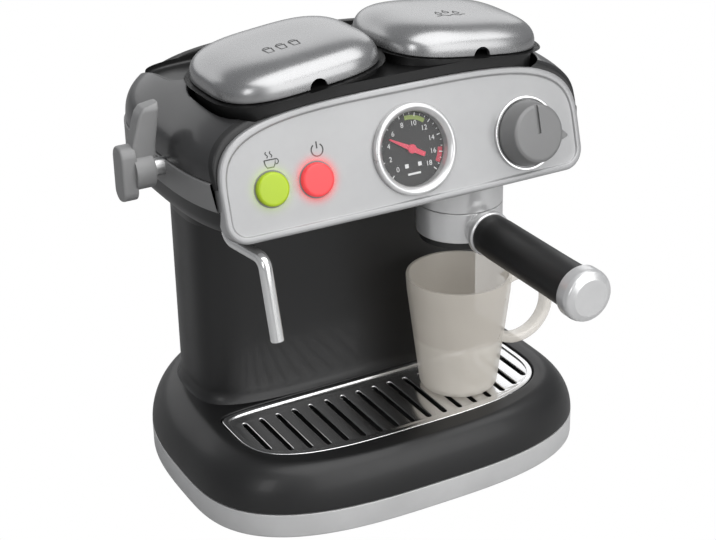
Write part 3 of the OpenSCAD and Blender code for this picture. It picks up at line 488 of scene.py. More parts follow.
cupSmoke = plastic("CupSmoke", 0.62, 0.3, (1, 0.94, 0.85), coat=0.4, grain=500)
cupRise = cupSmoke.node("ShaderNodeSeparateXYZ", 2, Vector=cupSmoke.place())
drinkTop = (0.0605, 0.0625)
# the faint warm emission is painted light, for light shining through the plastic
cupSmoke.set(Base_Color=cupSmoke.mix(cupRise.clamp(*drinkTop), shade(0.7, (1, 0.95, 0.87)),
                                     shade(0.62, (1, 0.94, 0.85))),
             Alpha=cupSmoke.noise(14).clamp(0.3, 0.7, 0.48, 0.54) + cupRise.clamp(*drinkTop, 0.03, 0.0),
             Emission_Color=(1, 0.93, 0.82, 1), Emission_Strength=0.06)
tankClear = plastic("TankClear", 0.5, 0.2, (0.8, 0.95, 1.1))
tankClear.set(Alpha=0.5)
lensClear = plastic("LensClear", 0.9, 0.06)
lensClear.set(Alpha=0.03, Specular_IOR_Level=0.2)
lampClear = plastic("LampClear", 0.8, 0.2, (1, 0.95, 0.85))
lampClear.set(Alpha=0.8)
tubeMilk = plastic("TubeMilk", 0.7, 0.4)


# Camera and light

eye = np.array([-352.4, -641.3, 437.9])
ahead = np.array([0.4305, 0.7969, -0.4239])
ahead /= np.linalg.norm(ahead)
right = np.cross(ahead, [0, 0, 1])
right /= np.linalg.norm(right)
over = np.cross(right, ahead)
cameraData = bpy.data.cameras.new("Camera")
cameraData.lens, cameraData.sensor_width = 85.98, 36.0
cameraData.clip_start, cameraData.clip_end = 0.05, 20
camera = linked("Camera", cameraData)
basis = Matrix([[right[i], over[i], -ahead[i], eye[i] * mm] for i in range(3)] + [[0, 0, 0, 1]])
camera.matrix_world = basis @ Matrix.Rotation(math.radians(-1.17), 4, "Z")
scene.camera = camera
scene.view_settings.view_transform = "Standard"


def panelLight(name, spot, targetZ, size, power):
    data = bpy.data.lights.new(name, "AREA")
    data.shape, data.size, data.size_y = "RECTANGLE", size[0], size[1]
    data.energy = power
    lamp = linked(name, data)
    lamp.location = spot
    lamp.rotation_euler = (Vector((0, 0, targetZ)) - Vector(spot)).to_track_quat("-Z", "Y").to_euler()


panelLight("TopLight", (0.2, -0.45, 1.15), 0.1, (1.6, 1.2), 15)
panelLight("LeftLight", (-1.2, -0.9, 0.7), 0.12, (0.4, 0.7), 3)
panelLight("FrontLight", (0.45, -1.6, 0.6), 0.12, (1.8, 1.1), 13)
panelLight("RearLight", (0.2, 1.9, 0.95), 0.15, (3.8, 1.2), 14)


# white to the camera, and the given shader to everything else
def whiteToCamera(tree, whiteKind, fill, output):
    white = tree.nodes.new(whiteKind)
    white.inputs["Color"].default_value = (1, 1, 1, 1)
    path = tree.nodes.new("ShaderNodeLightPath")
    mix = tree.nodes.new("ShaderNodeMixShader")
    tree.links.new(path.outputs["Is Camera Ray"], mix.inputs["Fac"])
    tree.links.new(fill.outputs[0], mix.inputs[1])
    tree.links.new(white.outputs[0], mix.inputs[2])
    tree.links.new(mix.outputs[0], output.inputs["Surface"])


world = bpy.data.worlds.new("World")
scene.world = world
world.use_nodes = True
sky = world.node_tree.nodes
sky["Background"].inputs["Color"].default_value = (0.62, 0.63, 0.65, 1)
sky["Background"].inputs["Strength"].default_value = 0.5
whiteToCamera(world.node_tree, "ShaderNodeBackground", sky["Background"], sky["World Output"])

floorLook = Look("FloorLook")
floorLook.set(Base_Color=(0.4, 0.4, 0.4, 1), Roughness=0.6)
whiteToCamera(floorLook.tree, "ShaderNodeEmission", floorLook.shader, floorLook.tree.nodes["Material Output"])
floor = Builder().box([-4000, -4000, -2], [4000, 4000, 0]).mesh("Floor")
floor.data.materials.append(floorLook.material)
print("camera and light made")


# Base

baseSquare = 2.9
basePlan = superPlan(100, 65.3, 99.7, baseSquare, baseSquare)
rimPlan = superPlan(83.5, 55.7, 94.7, baseSquare, baseSquare)
wellY, wellSquare = -7.2, 3.26
wellPlan = superPlan(79, 39.8, 16.6, wellSquare, 8, wellY)
baseAngles = evenAngles(basePlan, 480)
rimTop, stripTop, ledgeTop, shoulderPower = 34.6, 13.1, 30.8, 1.9
bodyLow = stripTop + 0.3

strip = Builder().skin(rings(basePlan, baseAngles, [(6, 1), (0, 1, 1.4), (0, stripTop, 0.35), (3, stripTop)]),
                       caps=True)
holes = Builder()
for x, y in [(-68, -32), (68, -32), (-62, 66), (62, 66)]:
    holes.spin([(0, -1), (7.15, -1), (7.15, 1.8), (0, 1.8)], (x, y, 0), count=48)
for x, y in [(-86, 10), (86, 10), (-48, 79.7), (48, 79.7)]:
    holes.spin([(0, -1), (3.1, -1), (3.1, 2.2), (0, 2.2)], (x, y, 0), count=32)
holes.box([-31, 18, -1], [31, 72, 3.3])
settle(carve(strip.mesh("BaseStrip"), holes), baseSilver, "base_silver", "case", "base_plate")

bodyRows = [atHeight(basePlan(baseAngles, inset), bodyLow) for inset in (2, 0.5)]
for a in np.linspace(0.03, math.pi / 2, 44):
    share = 1 - math.cos(a) ** (2 / shoulderPower)
    bodyRows.append(atHeight(mixRings(basePlan(baseAngles, 0.05), rimPlan(baseAngles), share),
                             bodyLow + (rimTop - stripTop - 0.3) * math.sin(a) ** (2 / shoulderPower)))
bodyRows += rings(wellPlan, baseAngles, [(-3, rimTop), (0, rimTop, 1.0), (0, ledgeTop, 0.3),
                                         (3, ledgeTop, 0.3), (3, 17)])
settle(Builder().skin(bodyRows).mesh("BaseBody"), darkCase, "dark_case", "case", "base_shell")

# grille: a plate with slots and rounded edges, in a low frame
slotBack, slotHalf, grilleEdge = -1.6, 1.2, 0.45
grilleBottom, grilleTop = 31.7, 33.5


def slotFront(x):
    return wellY - 33.8 * (1 - (abs(x) / 76.5) ** wellSquare) ** (1 / wellSquare)


def slotEnd(x, y, first):
    half = slotHalf + grilleEdge
    return [(x + half * math.cos(t), y + half * math.sin(t)) for t in np.linspace(first, first + math.pi, 12)]


slots = [slotEnd(x, slotFront(x) + slotHalf, math.pi) + slotEnd(x, slotBack - slotHalf, 0)
         for x in np.linspace(-69.6, 69.6, 17)]
grilleAngles = evenAngles(wellPlan, 360)
grille = plate("GrillePlate", [wellPlan(grilleAngles, 2.4)] + slots, grilleBottom, grilleTop, grilleEdge)
settle(grille, grilleChrome, "grille_chrome", "grille", "drip_grille")
rim = Builder().skin(rings(wellPlan, grilleAngles, [
    (2.0, grilleBottom), (0.55, grilleBottom, 0.3), (0.55, 34.1, 0.5), (3.1, 34.1, 0.5), (3.1, 33.2)]))
settle(rim.mesh("GrilleRim"), grilleChrome, "grille_chrome", "grille", "drip_grille")
print("base made")


# Column

columnHalf, columnFront, columnRear, columnY, columnWall = 77.5, 30, 44, 42, 2.4
columnSquareFront, columnSquareRear, coverY = 4, 2.5, 58
columnPlan = superPlan(columnHalf, columnFront, columnRear, columnSquareFront, columnSquareRear, columnY)
columnRows = [(-2.2 * (1 - u) ** 2.6, rimTop + 6.5 * u) for u in np.linspace(0, 1, 10)]
columnRows += [(0, z) for z in (60, 90, 127)]


def coverAngle(y):
    return math.asin(((y - columnY) / columnRear) ** (columnSquareRear / 2))


frontFirst = math.pi - coverAngle(coverY)
frontAngles = evenAngles(columnPlan, 420, frontFirst, turn + math.pi - frontFirst, closed=False)
rearFirst = coverAngle(coverY + 0.35)
rearAngles = evenAngles(columnPlan, 300, rearFirst, math.pi - rearFirst, closed=False)
for name, angles, node in (("ColumnFront", frontAngles, "column_shell"),
                           ("RearCover", rearAngles, "rear_cover")):
    inner = columnPlan(angles, columnWall)[::-1]
    rows = [atHeight(np.concatenate([columnPlan(angles, inset), inner]), z) for inset, z in columnRows]
    piece = Builder().skin(rows, caps=True).mesh(name)
    if node == "rear_cover":
        vents, ventPitch = Builder(), 4.4
        backward = np.array([[1, 0, 0], [0, 0, 1], [0, -1, 0]], float)
        for i in range(-3, 4):
            for j in range(-2, 3):
                if abs(i) + abs(j) < 5:
                    vents.spin([(0, -92), (1.1, -92), (1.1, -78), (0, -78)],
                               (i * ventPitch, 0, 82 + j * ventPitch), backward, 20)
        for x in (-38, 38):
            for z in (58, 106):
                aside = (abs(x) / columnHalf) ** columnSquareRear
                back = columnY + columnRear * (1 - aside) ** (1 / columnSquareRear)
                vents.spin([(0, -back - 5), (3.1, -back - 5), (3.1, -back + 1.9), (0, -back + 1.9)],
                           (x, 0, z), backward, 32)
        piece = carve(piece, vents)
    settle(piece, darkCase, "dark_case", "case", node)
print("column made")


# Head

headHalf, headFront, headRear, headY = 97.4, 88, 75.3, 20
headSquareFront, headSquareRear = 3.38, 3.15
headPlan = superPlan(headHalf, headFront, headRear, headSquareFront, headSquareRear, headY)
headAngles = evenAngles(headPlan, 640)
neckZ, bandZ, bandTop, topRise, topPower = 126, 157.8, 170.2, 31.6, 2.81
# each row: height, then how far side, front, rear and squareness have gone from column to head
flare = smoothRows([
    [0, 0, 0, 0, 0], [0.157, 0.075, 0.006, 0.05, 0.05], [0.314, 0.25, 0.025, 0.22, 0.18],
    [0.456, 0.48, 0.0875, 0.43, 0.36], [0.566, 0.68, 0.225, 0.65, 0.64], [0.645, 0.82, 0.5, 0.77, 0.9],
    [0.692, 0.88, 0.97, 0.86, 1], [0.818, 0.97, 1, 0.97, 1], [1, 1, 1, 1, 1]], 72)


def between(a, b, share):
    return a + (b - a) * share


rows = []
for up, side, front, rear, square in flare:
    y = between(columnY, headY, square)
    reachFront = y - between(columnY - columnFront, headY - headFront, front)
    reachRear = between(columnY + columnRear, headY + headRear, rear) - y
    plan = superPlan(between(columnHalf, headHalf, side), reachFront, reachRear,
                     between(columnSquareFront, headSquareFront, square),
                     between(columnSquareRear, headSquareRear, square), y)
    rows.append(atHeight(plan(headAngles), neckZ + (bandZ - neckZ) * up))
rows[-1][:, 2] -= 0.15
rows.append(atHeight(headPlan(headAngles, 0.6), bandZ))
headGap = panelOrigin - panelOut * panelDepth
settle(trim(Builder().skin(rows).mesh("HeadUnderside")), darkCase, "dark_case", "case", "head_lower_shell")

band = Builder().skin(rings(headPlan, headAngles, [
    (1.5, bandZ + 0.1), (-0.8, bandZ + 0.1, 0.7), (-0.8, bandTop - 0.1, 0.7), (1.5, bandTop - 0.1)], 6))
settle(trim(band.mesh("SideBand")), bandGrey, "band_grey", "case", "side_band")

# top: grows inward from the band to the opening that the deck fills
trayHalf, trayDeep, traySquare, trayY = 80.4, 31.5, 5, 53.5
lidHalf, lidDeep, lidSquare = 39, 33, 3.2
trayPlan = superPlan(trayHalf, trayDeep, trayDeep, traySquare, traySquare, trayY)
lidPlan = superPlan(lidHalf, lidDeep, lidDeep, lidSquare, lidSquare)
tubPlan = superPlan(34, 20, 28, lidSquare, lidSquare)
topCentre = np.array([0.0, headY])


def inOpening(points):
    # below zero inside the tray, the two lid plinths or the bridge between them
    x, y = points[..., 0], points[..., 1]
    tray = superSum(x, y - trayY, trayHalf + 0.3, trayDeep + 0.3, traySquare) - 1
    left, right = (superSum(x - side * lidX, y, lidHalf + 1.5, lidDeep + 1.7, lidSquare) - 1
                   for side in (-1, 1))
    bridge = np.maximum(np.abs(x) / 39.5 - 1, np.maximum((-80 - y) / 80, (y - trayY) / 80))
    return np.minimum(np.minimum(tray, left), np.minimum(right, bridge))


topAngles = evenAngles(headPlan, 1200)
outerRing = headPlan(topAngles)
sizes = np.linspace(0.2, 1, 1601)
along = topCentre + (outerRing - topCentre)[:, None, :] * sizes[None, :, None]
inside = inOpening(along)
last = len(sizes) - 1 - np.argmax((inside < 0)[:, ::-1], axis=1)
last = np.minimum(last, len(sizes) - 2)
rowIndex = np.arange(len(last))
low, high = inside[rowIndex, last], inside[rowIndex, last + 1]
edgeSize = sizes[last] + (sizes[1] - sizes[0]) * np.clip(low / (low - high), 0, 1)


def topHeight(size):
    return bandTop + topRise * np.clip(1 - size ** topPower, 0, 1) ** (1 / topPower)


def topSizeAt(points):
    x, y = points[:, 0], points[:, 1] - headY
    square = np.where(y < 0, headSquareFront, headSquareRear)
    reach = np.where(y < 0, headFront, headRear)
    return superSum(x, y, headHalf, reach, square) ** (1 / square)


rows = [atHeight(headPlan(topAngles, 0.8), bandTop)]
edgeTurn = np.arccos(np.clip(edgeSize, 0, 1) ** (topPower / 2))
for u in np.linspace(0.004, 1, 42):
    size = np.cos(edgeTurn * u) ** (2 / topPower)
    flat = topCentre + (outerRing - topCentre) * size[:, None]
    rows.append(np.column_stack([flat, bandTop + topRise * np.sin(edgeTurn * u) ** (2 / topPower)]))
edge = rows[-1].copy()
inward = topCentre - edge[:, :2]
inward /= np.linalg.norm(inward, axis=1)[:, None]
for step, drop in ((0.12, 0.06), (0.3, 0.3), (0.35, 0.8), (0.35, 7.0)):
    ring = edge.copy()
    ring[:, :2] += inward * step
    ring[:, 2] -= drop
    rows.append(ring)
# the top wears the lighter copy of the case's black, which is painted light
settle(trim(Builder().skin(rows).mesh("HeadTop", 50), 50),
       topCasePaintedLight, "dark_case", "case", "head_upper_shell")

# deck: rear tray, bridge between the lids, and a plinth with a well under each lid, in black darkened with
# painted shade
trayAngles = evenAngles(trayPlan, 480)
crestFlat = trayPlan(trayAngles)
crest = topHeight(topSizeAt(crestFlat)) - 0.35
trayFloor = 183.8
rows = [atHeight(crestFlat, trayFloor - 2.4)]
for inset, drop in ((0, 0.5), (0.4, 0), (1.2, 0), (1.6, 0.5)):
    rows.append(np.column_stack([trayPlan(trayAngles, inset), crest - drop]))
rows += rings(trayPlan, trayAngles, [(1.7, 187), (1.8, trayFloor, 2.2), (8, trayFloor)], 6)
tray = Builder().skin(rows, caps=True)
lidAngles = evenAngles(lidPlan, 360)


def lidRing(side, inset, z, plan=lidPlan):
    return place(atHeight(plan(lidAngles, inset), z), *lidFrame(side))


trayCut = Builder()
for side in (-1, 1):
    trayCut.skin([lidRing(side, -0.9, z) for z in (-40, 20)], caps=True)
trayCut.box([-32.4, -20, 170], [32.4, 22.4, 210])
settle(carve(tray.mesh("DeckTray"), trayCut), deckBlackShaded, "deck_black", "case", "top_deck")

hingeY, hingeZ = 37.8, 1.5


def pinFrame(x, origin, axes):
    # frame on a lid's hinge pin, with z along the pin
    return place([[x, hingeY, hingeZ]], origin, axes)[0], np.array([-axes[2], axes[1], axes[0]])


deck = Builder()
deck.box([-32.5, -32, 181.4], [32.5, 22.6, 201.8])
for side in (-1, 1):
    origin, axes = lidFrame(side)
    rows = [lidRing(side, -grow, z) for grow, z in roundPath([(-1, -24), (-1, 0, 0.9), (2.5, 0)])]
    rows += [lidRing(side, inset, z, tubPlan) for inset, z in roundPath([(-1, 0), (0, 0, 0.5), (0, -24)])]
    deck.skin(rows, loop=True)
    for x0 in (-16.3, 12.3):
        deck.box([x0, 30, -9], [x0 + 4, 40.3, -0.4], origin, axes)
        deck.box([x0, 35.3, -1], [x0 + 4, 40.3, 1.5], origin, axes)
        deck.spin([(0, 0), (3, 0), (3, 4), (0, 4)], *pinFrame(x0, origin, axes), 40)
panelAxes = np.array([[1, 0, 0], panelUp, panelOut])
pocket = Builder().skin([place(atHeight(panelOutline(-0.3)[::12], z), panelOrigin, panelAxes)
                         for z in (-panelDepth, 40)], caps=True)
settle(carve(deck.mesh("TopDeck"), pocket), deckBlackShaded, "deck_black", "case", "top_deck")
print("head made")


# Lids: hollow pillows, each with a notch in front and a strap on the hinge pin

lidSeam, lidRise, pillowFlat, pillowUp = 0.3, 12.95, 4.4, 2.6


def pillow(grow, high, z0, steps, last, origin, axes):
    rows = []
    for a in np.linspace(0, math.radians(last), steps):
        flat = lidPlan(lidAngles, -grow) * math.cos(a) ** (2 / pillowFlat)
        rows.append(place(atHeight(flat, z0 + high * math.sin(a) ** (2 / pillowUp)), origin, axes))
    return rows


for side, hand in ((-1, "left"), (1, "right")):
    name = hand.capitalize() + "Lid"
    origin, axes = lidFrame(side)
    inner = pillow(-2, 10.95, lidSeam, 14, 88.5, origin, axes)
    outer = pillow(0, lidRise, 0.55, 40, 89.2, origin, axes)
    lid = Builder().skin(inner[::-1] + [lidRing(side, 0.35, lidSeam)] + outer, caps=True)
    notch = Builder().spin([(0, -6), (4.2, -6), (4.2, 4), (0, 4)],
                           place([[0, -lidDeep, 0.2]], origin, axes)[0],
                           np.array([axes[0], -axes[2], axes[1]]), 48)
    piece = carve(lid.mesh(name, 40), notch, 40)
    strap = Builder().box([-12, 31.5, 0.4], [12, hingeY, 3.9], origin, axes)
    strap.spin(roundPath([(0, -12), (3, -12, 0.4), (3, 12, 0.4), (0, 12)]), *pinFrame(0, origin, axes), 48)
    hinge = strap.mesh(name + "Hinge")
    for part in (piece, hinge):
        settle(part, lidSilver, "silver_plastic", "lid_" + hand, hand + "_lid")
print("lids made")


# Control panel: bowed plate with a raised rim, open behind the gauge

gaugeX, controlV = 1.8, -3.9
knobX, boardX, pitch = 60.3, -57.0, 20.8
seatRadius = 18.5


def fromGauge(rays, reach):
    return [gaugeX, 0] + rays * reach


def radiusTowards(points, angles):
    # how far an outline lies from the gauge's centre in each direction
    offset = points - [gaugeX, 0]
    direction = np.arctan2(offset[:, 1], offset[:, 0]) % turn
    order = np.argsort(direction)
    return np.interp(angles, direction[order], np.hypot(*offset[order].T), period=turn)


edgeLine = panelOutline(0)
steps = np.concatenate([[0], np.cumsum(np.hypot(*np.diff(edgeLine, axis=0).T))])
evenly = np.interp(np.linspace(0, steps[-1], 900, endpoint=False), steps, np.arange(len(steps)))
sample = edgeLine[evenly.astype(int)]
panelAngles = np.unique(np.arctan2(sample[:, 1], sample[:, 0] - gaugeX) % turn)
panelRays = arcPoints(panelAngles, 1)


def panelRow(flat, height):
    return place(np.column_stack([flat, height - bowAt(flat[:, 0])]), panelOrigin, panelAxes)


rows = []
for inset, height in roundPath([(0.6, -7), (0, -7, 0.3), (0, 0, 1.6), (2.9, 0, 0.6), (3.3, -rimHeight, 0.5),
                                (6, -rimHeight)], 6):
    reach = radiusTowards(panelOutline(inset), panelAngles)
    rows.append(panelRow(fromGauge(panelRays, reach[:, None]), height))
inner = radiusTowards(panelOutline(6), panelAngles)
for share in np.linspace(0.03, 1, 30):
    reach = mixRings(inner, 19.2, share)
    rows.append(panelRow(fromGauge(panelRays, reach[:, None]), -rimHeight))
for r, height in ((18.7, -1.0), (seatRadius, -1.3), (seatRadius, -6)):
    rows.append(panelRow(fromGauge(panelRays, r), height))
settle(Builder().skin(rows).mesh("ControlPanel", 40), silverPaint, "silver_plastic", "case", "control_panel")


# shoulders: the case's corners, from their cut edge in to the panel's rim
def outsideHead(points):
    size = topSizeAt(points)
    above = np.clip((points[:, 2] - bandTop) / topRise, 0, None)
    return size ** topPower + above ** topPower - 1


rays = np.radians(np.linspace(0, 180, 721))
directions = arcPoints(rays, 1)
near, far = np.full(len(rays), 20.0), np.full(len(rays), 130.0)


def onCut(reach):
    return place(atHeight(fromGauge(directions, reach[:, None]), -panelDepth), panelOrigin, panelAxes)


for _ in range(40):
    middle = (near + far) / 2
    out = outsideHead(onCut(middle)) > 0
    near, far = np.where(out, near, middle), np.where(out, middle, far)
cutEdge = onCut(near)
rimReach = radiusTowards(panelOutline(0.2), rays)
beside = (inOpening(cutEdge[:, :2]) > 0) & (near > rimReach)
shoulders = Builder()
for half in (rays < math.pi / 2, rays > math.pi / 2):
    use = half & beside
    rimLine = panelRow(fromGauge(directions[use], rimReach[use][:, None]), -2.4)
    bulge = (cutEdge[use] + rimLine) / 2 + panelOut * 1.1
    rows = smoothRows([line.ravel() for line in (cutEdge[use], bulge, rimLine)], 9)
    shoulders.skin(rows.reshape(9, -1, 3), wrap=False)
settle(shoulders.mesh("HeadShoulders"), darkCase, "dark_case", "case")
grooves, glowInner, glowWidth = Builder(), 8.1, 5.4
for side in (-1, 1):
    grooves.spin([(7.3, 0.02), (7.85, 0.06), (glowInner, 0.0)],
                 *faceFrame(boardX, controlV, side * pitch / 2), 96)
settle(grooves.mesh("ButtonGrooves"), knobGrey, "silver_plastic", "case")


# Gauge: a bezel, a dial and what is printed on it

gauge, face = faceFrame(gaugeX)
dialFirst, dialLast, dialZ, markZ, arcZ, numberRadius = 225, -45, -3, -2.93, -2.94, 11.2
bezel = Builder().spin(roundPath([(16.5, -5), (16.5, 0.6, 0.5), (17.7, 2.1, 0.8), (18.7, 2.8, 0.8),
                                  (20.3, 2.2, 0.8), (20.5, 0.9, 0.5), (20.5, 0)], 6), gauge, face, 192)
settle(bezel.mesh("GaugeBezel", 60), groupSilver, "bright_trim", "case", "gauge_bezel")
turned("GaugeDial", [(0, dialZ), (16.4, dialZ), (16.4, -4.5), (0, -4.5)], gauge, face, 128,
       dialBlack, "dial_face", "case", "gauge_dial")


def sweepAngles(first, last, radius, centre, count=24):
    return arcPoints(np.radians(np.linspace(first, last, count)), radius, centre)


def arcBand(builder, radius, width, first, last):
    rows = [place(atHeight(sweepAngles(first, last, r, (0, 0)), arcZ), gauge, face)
            for r in (radius - width / 2, radius + width / 2)]
    builder.skin(rows, wrap=False)


def bar(builder, centre, angle, length, width, z):
    a = math.radians(angle)
    along, across = np.array([math.cos(a), math.sin(a), 0]), np.array([-math.sin(a), math.cos(a), 0])
    middle = np.array([centre[0], centre[1], z])
    corners = [middle + along * sx * length / 2 + across * sy * width / 2
               for sx, sy in ((-1, -1), (1, -1), (1, 1), (-1, 1))]
    builder.add(place(corners, gauge, face), [[0, 1, 2, 3]])


white, green, red = Builder(), Builder(), Builder()
for i, angle in enumerate(np.linspace(dialFirst, dialLast, 28)):
    r, length, width = (15.5, 0.9, 0.3) if i % 3 else (15.1, 1.7, 0.5)
    a = math.radians(angle)
    bar(white, (r * math.cos(a), r * math.sin(a)), angle, length, width, markZ)
arcBand(green, 13.8, 1.9, 53, 95)
arcBand(red, 14.6, 2.3, -33, -7)
for x in (-3.3, 3.3):
    bar(white, (x, -7.2), 0, 1.8, 1.8, markZ)
bar(white, (0, -11), 0, 6.5, 0.9, arcZ)
settle(white.mesh("DialMarks"), printWhite, "silver_plastic", "case")
settle(green.mesh("DialGreenArc"), printGreen, "green_cap", "case")
settle(red.mesh("DialRedArc"), printRed, "red_cap", "case")


for i, angle in enumerate(np.linspace(dialFirst, dialLast, 10)):
    a = math.radians(angle)
    digits = bpy.data.curves.new("DialNumber%d" % i, "FONT")
    digits.body, digits.size = str(i * 2), 3.2 * mm
    digits.align_x, digits.align_y = "CENTER", "CENTER"
    mesh = curveMesh(digits, [numberRadius * math.cos(a), numberRadius * math.sin(a), markZ], gauge, face)
    mesh.update()
    settle(linked("DialNumber%d" % i, mesh), printWhite, "silver_plastic", "case")
print("panel and gauge made")


# Knob: a turned body with a beak on its right and a pointer groove

knobCentre, knobAxes = faceFrame(knobX, controlV)


def knobShape(angles, r, z):
    aside = (angles - math.radians(-13) + math.pi) % turn - math.pi
    beak = np.minimum(16.15, 10.218 / (np.abs(np.sin(aside)) + 0.606 * np.cos(aside)))
    beak = np.where(np.abs(aside) < math.radians(60), beak, 0)
    return np.maximum(r, beak * np.interp(z, [3.0, 3.04, 3.5, 9.9, 10.38, 10.4], [0, 0.96, 1, 1, 0.96, 0]))


knob = Builder()
knob.spin([(0, 0.3), (14.6, 0.3), (15, 0.7), (15, 1.8), (14.73, 3.0), (14.72, 3.04), (14.6, 3.5), (13.2, 9.8),
           (13.17, 9.9), (12.8, 10.38), (12.75, 10.4), (12.2, 10.8), (11.7, 10.96), (11.2, 11), (0, 11)],
          knobCentre, knobAxes, 360, knobShape)
knobPiece = carve(knob.mesh("Knob"), Builder().box([-0.9, 0, 10], [0.9, 20, 14], knobCentre, knobAxes))
settle(knobPiece, knobGrey, "knob_grey", "knob", "control_knob")
turned("KnobRing", roundPath([(15.6, 0.02), (15.6, 1.2, 0.35), (16.9, 1.2, 0.35), (16.9, 0.02)]),
       knobCentre, knobAxes, 160, brightTrim, "bright_trim", "case", "knob_ring")


# Buttons, the painted glow around them and the prints above them

# flat line of one width, laid on a surface
def ribbon(builder, line, width, where, closed=False):
    line = np.array(line, float)
    ahead = np.gradient(line, axis=0) if not closed else np.roll(line, -1, 0) - np.roll(line, 1, 0)
    ahead /= np.linalg.norm(ahead, axis=1)[:, None]
    side = np.column_stack([-ahead[:, 1], ahead[:, 0]]) * width / 2
    builder.skin([where(line - side), where(line + side)], wrap=closed)


def onPanel(points, lift=0.05):
    return panelRow(np.asarray(points), lift - rimHeight)


# painted light: the buttons' light spilling onto the panel, drawn as an emissive ring that fades outward
paintedGlowLook = {"red": Look("RedGlow"), "green": Look("GreenGlow")}
for colour, tint, power in (("red", (1, 0.16, 0.16, 1), 0.9), ("green", (0.75, 1, 0.25, 1), 0.45)):
    look = paintedGlowLook[colour]
    fade = look.node("ShaderNodeAttribute", "Fac", {"attribute_name": "glow"})
    look.set(Base_Color=look.mix(fade, shade(0.75), tint), Emission_Color=tint, Emission_Strength=power * 0.5,
             Roughness=0.5, Alpha=fade * fade * (0.55 * power) * look.noise(40).clamp(0.3, 0.7, 0.9, 1))
for side, colour, look, node in ((-1, "green", greenCap, "green_button"), (1, "red", redCap, "red_button")):
    cap = Builder().spin(roundPath([(0, -8), (7.4, -8, 0.2), (7.4, 2.8, 1.6), (0, 2.8)], 10),
                         *faceFrame(boardX, controlV, side * pitch / 2), 128)
    settle(cap.mesh(colour.capitalize() + "Button"), look, colour + "_cap", "button_" + colour, node)
    centre = np.array([boardX + side * pitch / 2 * 0.999, controlV])
    halo = Builder().skin([onPanel(arcPoints(fullTurn(96), r, centre), 0.06)
                           for r in np.linspace(glowInner, glowInner + glowWidth, 12)])
    haloPiece = halo.mesh(colour.capitalize() + "Glow")
    glow = haloPiece.data.attributes.new("glow", "FLOAT", "POINT")
    middle = onPanel([centre])[0]
    for vertex, value in zip(haloPiece.data.vertices, glow.data):
        gap = np.linalg.norm(np.array(vertex.co) / mm - middle)
        value.value = max(0.0, min(1.0, 1 - (gap - glowInner) / glowWidth))
    settle(haloPiece, paintedGlowLook[colour], "silver_plastic", "case")

signs = Builder()
cupAt, powerAt = np.array([-66.2, 8.2]), np.array([-44.3, 8.9])
ribbon(signs, cupAt + np.array([[-2.7, 0.2], [-2.4, -1.8], [-1.6, -3.1], [1.3, -3.1], [2.1, -1.8], [2.4, 0.2],
                                [-2.7, 0.2], [-2.6, -0.5]]), 0.55, onPanel)
ribbon(signs, sweepAngles(100, -100, 1.1, cupAt + [2.6, -0.9], 14), 0.5, onPanel)
u = np.linspace(0, 1, 14)
for x in (-1.3, 0.7):
    steam = np.column_stack([cupAt[0] + x + 0.45 * np.sin(u * turn), cupAt[1] + 1.1 + 2.6 * u])
    ribbon(signs, steam, 0.5, onPanel)
ribbon(signs, sweepAngles(125, 415, 2.7, powerAt + [0, -0.4], 40), 0.6, onPanel)
ribbon(signs, powerAt + np.array([[0, 0.2], [0, 3.2]]), 0.65, onPanel)
settle(signs.mesh("PanelSigns"), printDark, "silver_plastic", "case")


# Prints on the lids

def onLid(side, centre):
    origin, axes = lidFrame(side)

    def where(points):
        flat = np.asarray(points) + centre
        size = superSum(*flat.T, lidHalf, lidDeep, lidSquare) ** (1 / lidSquare)
        height = 0.6 + lidRise * np.clip(1 - size ** pillowFlat, 0, 1) ** (1 / pillowUp)
        return place(np.column_stack([flat, height]), origin, axes)
    return where


pods, drops = Builder(), Builder()
where = onLid(-1, [-3.9, -9.6])
for x in (-6.2, 0, 6.2):
    ribbon(pods, [[x - 2.3, 2.1], [x + 2.3, 2.1]], 0.75, where)
    ribbon(pods, [[x - 1.9, 1.8], [x - 1.4, -2.4], [x + 1.4, -2.4], [x + 1.9, 1.8]], 0.65, where)
    ribbon(pods, sweepAngles(150, 30, 1.8, [x, 2.1], 10), 0.65, where)
where = onLid(1, [-4.0, -7.2])
for x, y in ((-4.6, -0.4), (0, 1.2), (4.6, -0.4)):
    outline = [[x + 1.4 * math.cos(t) * (1 if math.sin(t) < 0 else 1 - math.sin(t) ** 1.2),
                y + (1.4 if math.sin(t) < 0 else 2.8) * math.sin(t)] for t in np.linspace(0, turn, 29)[:-1]]
    ribbon(drops, outline, 0.65, where, True)
u = np.linspace(-1, 1, 40)
ribbon(drops, np.column_stack([u * 7.6, -3.8 + 0.6 * np.sin(u * 9)]), 0.7, where)
settle(pods.mesh("LeftLidSigns"), printDark, "silver_plastic", "lid_left")
settle(drops.mesh("RightLidSigns"), printDark, "silver_plastic", "lid_right")
print("knob, buttons and prints made")


# Steam lever: a hub, a tall plate outside it, and an arm that leans in

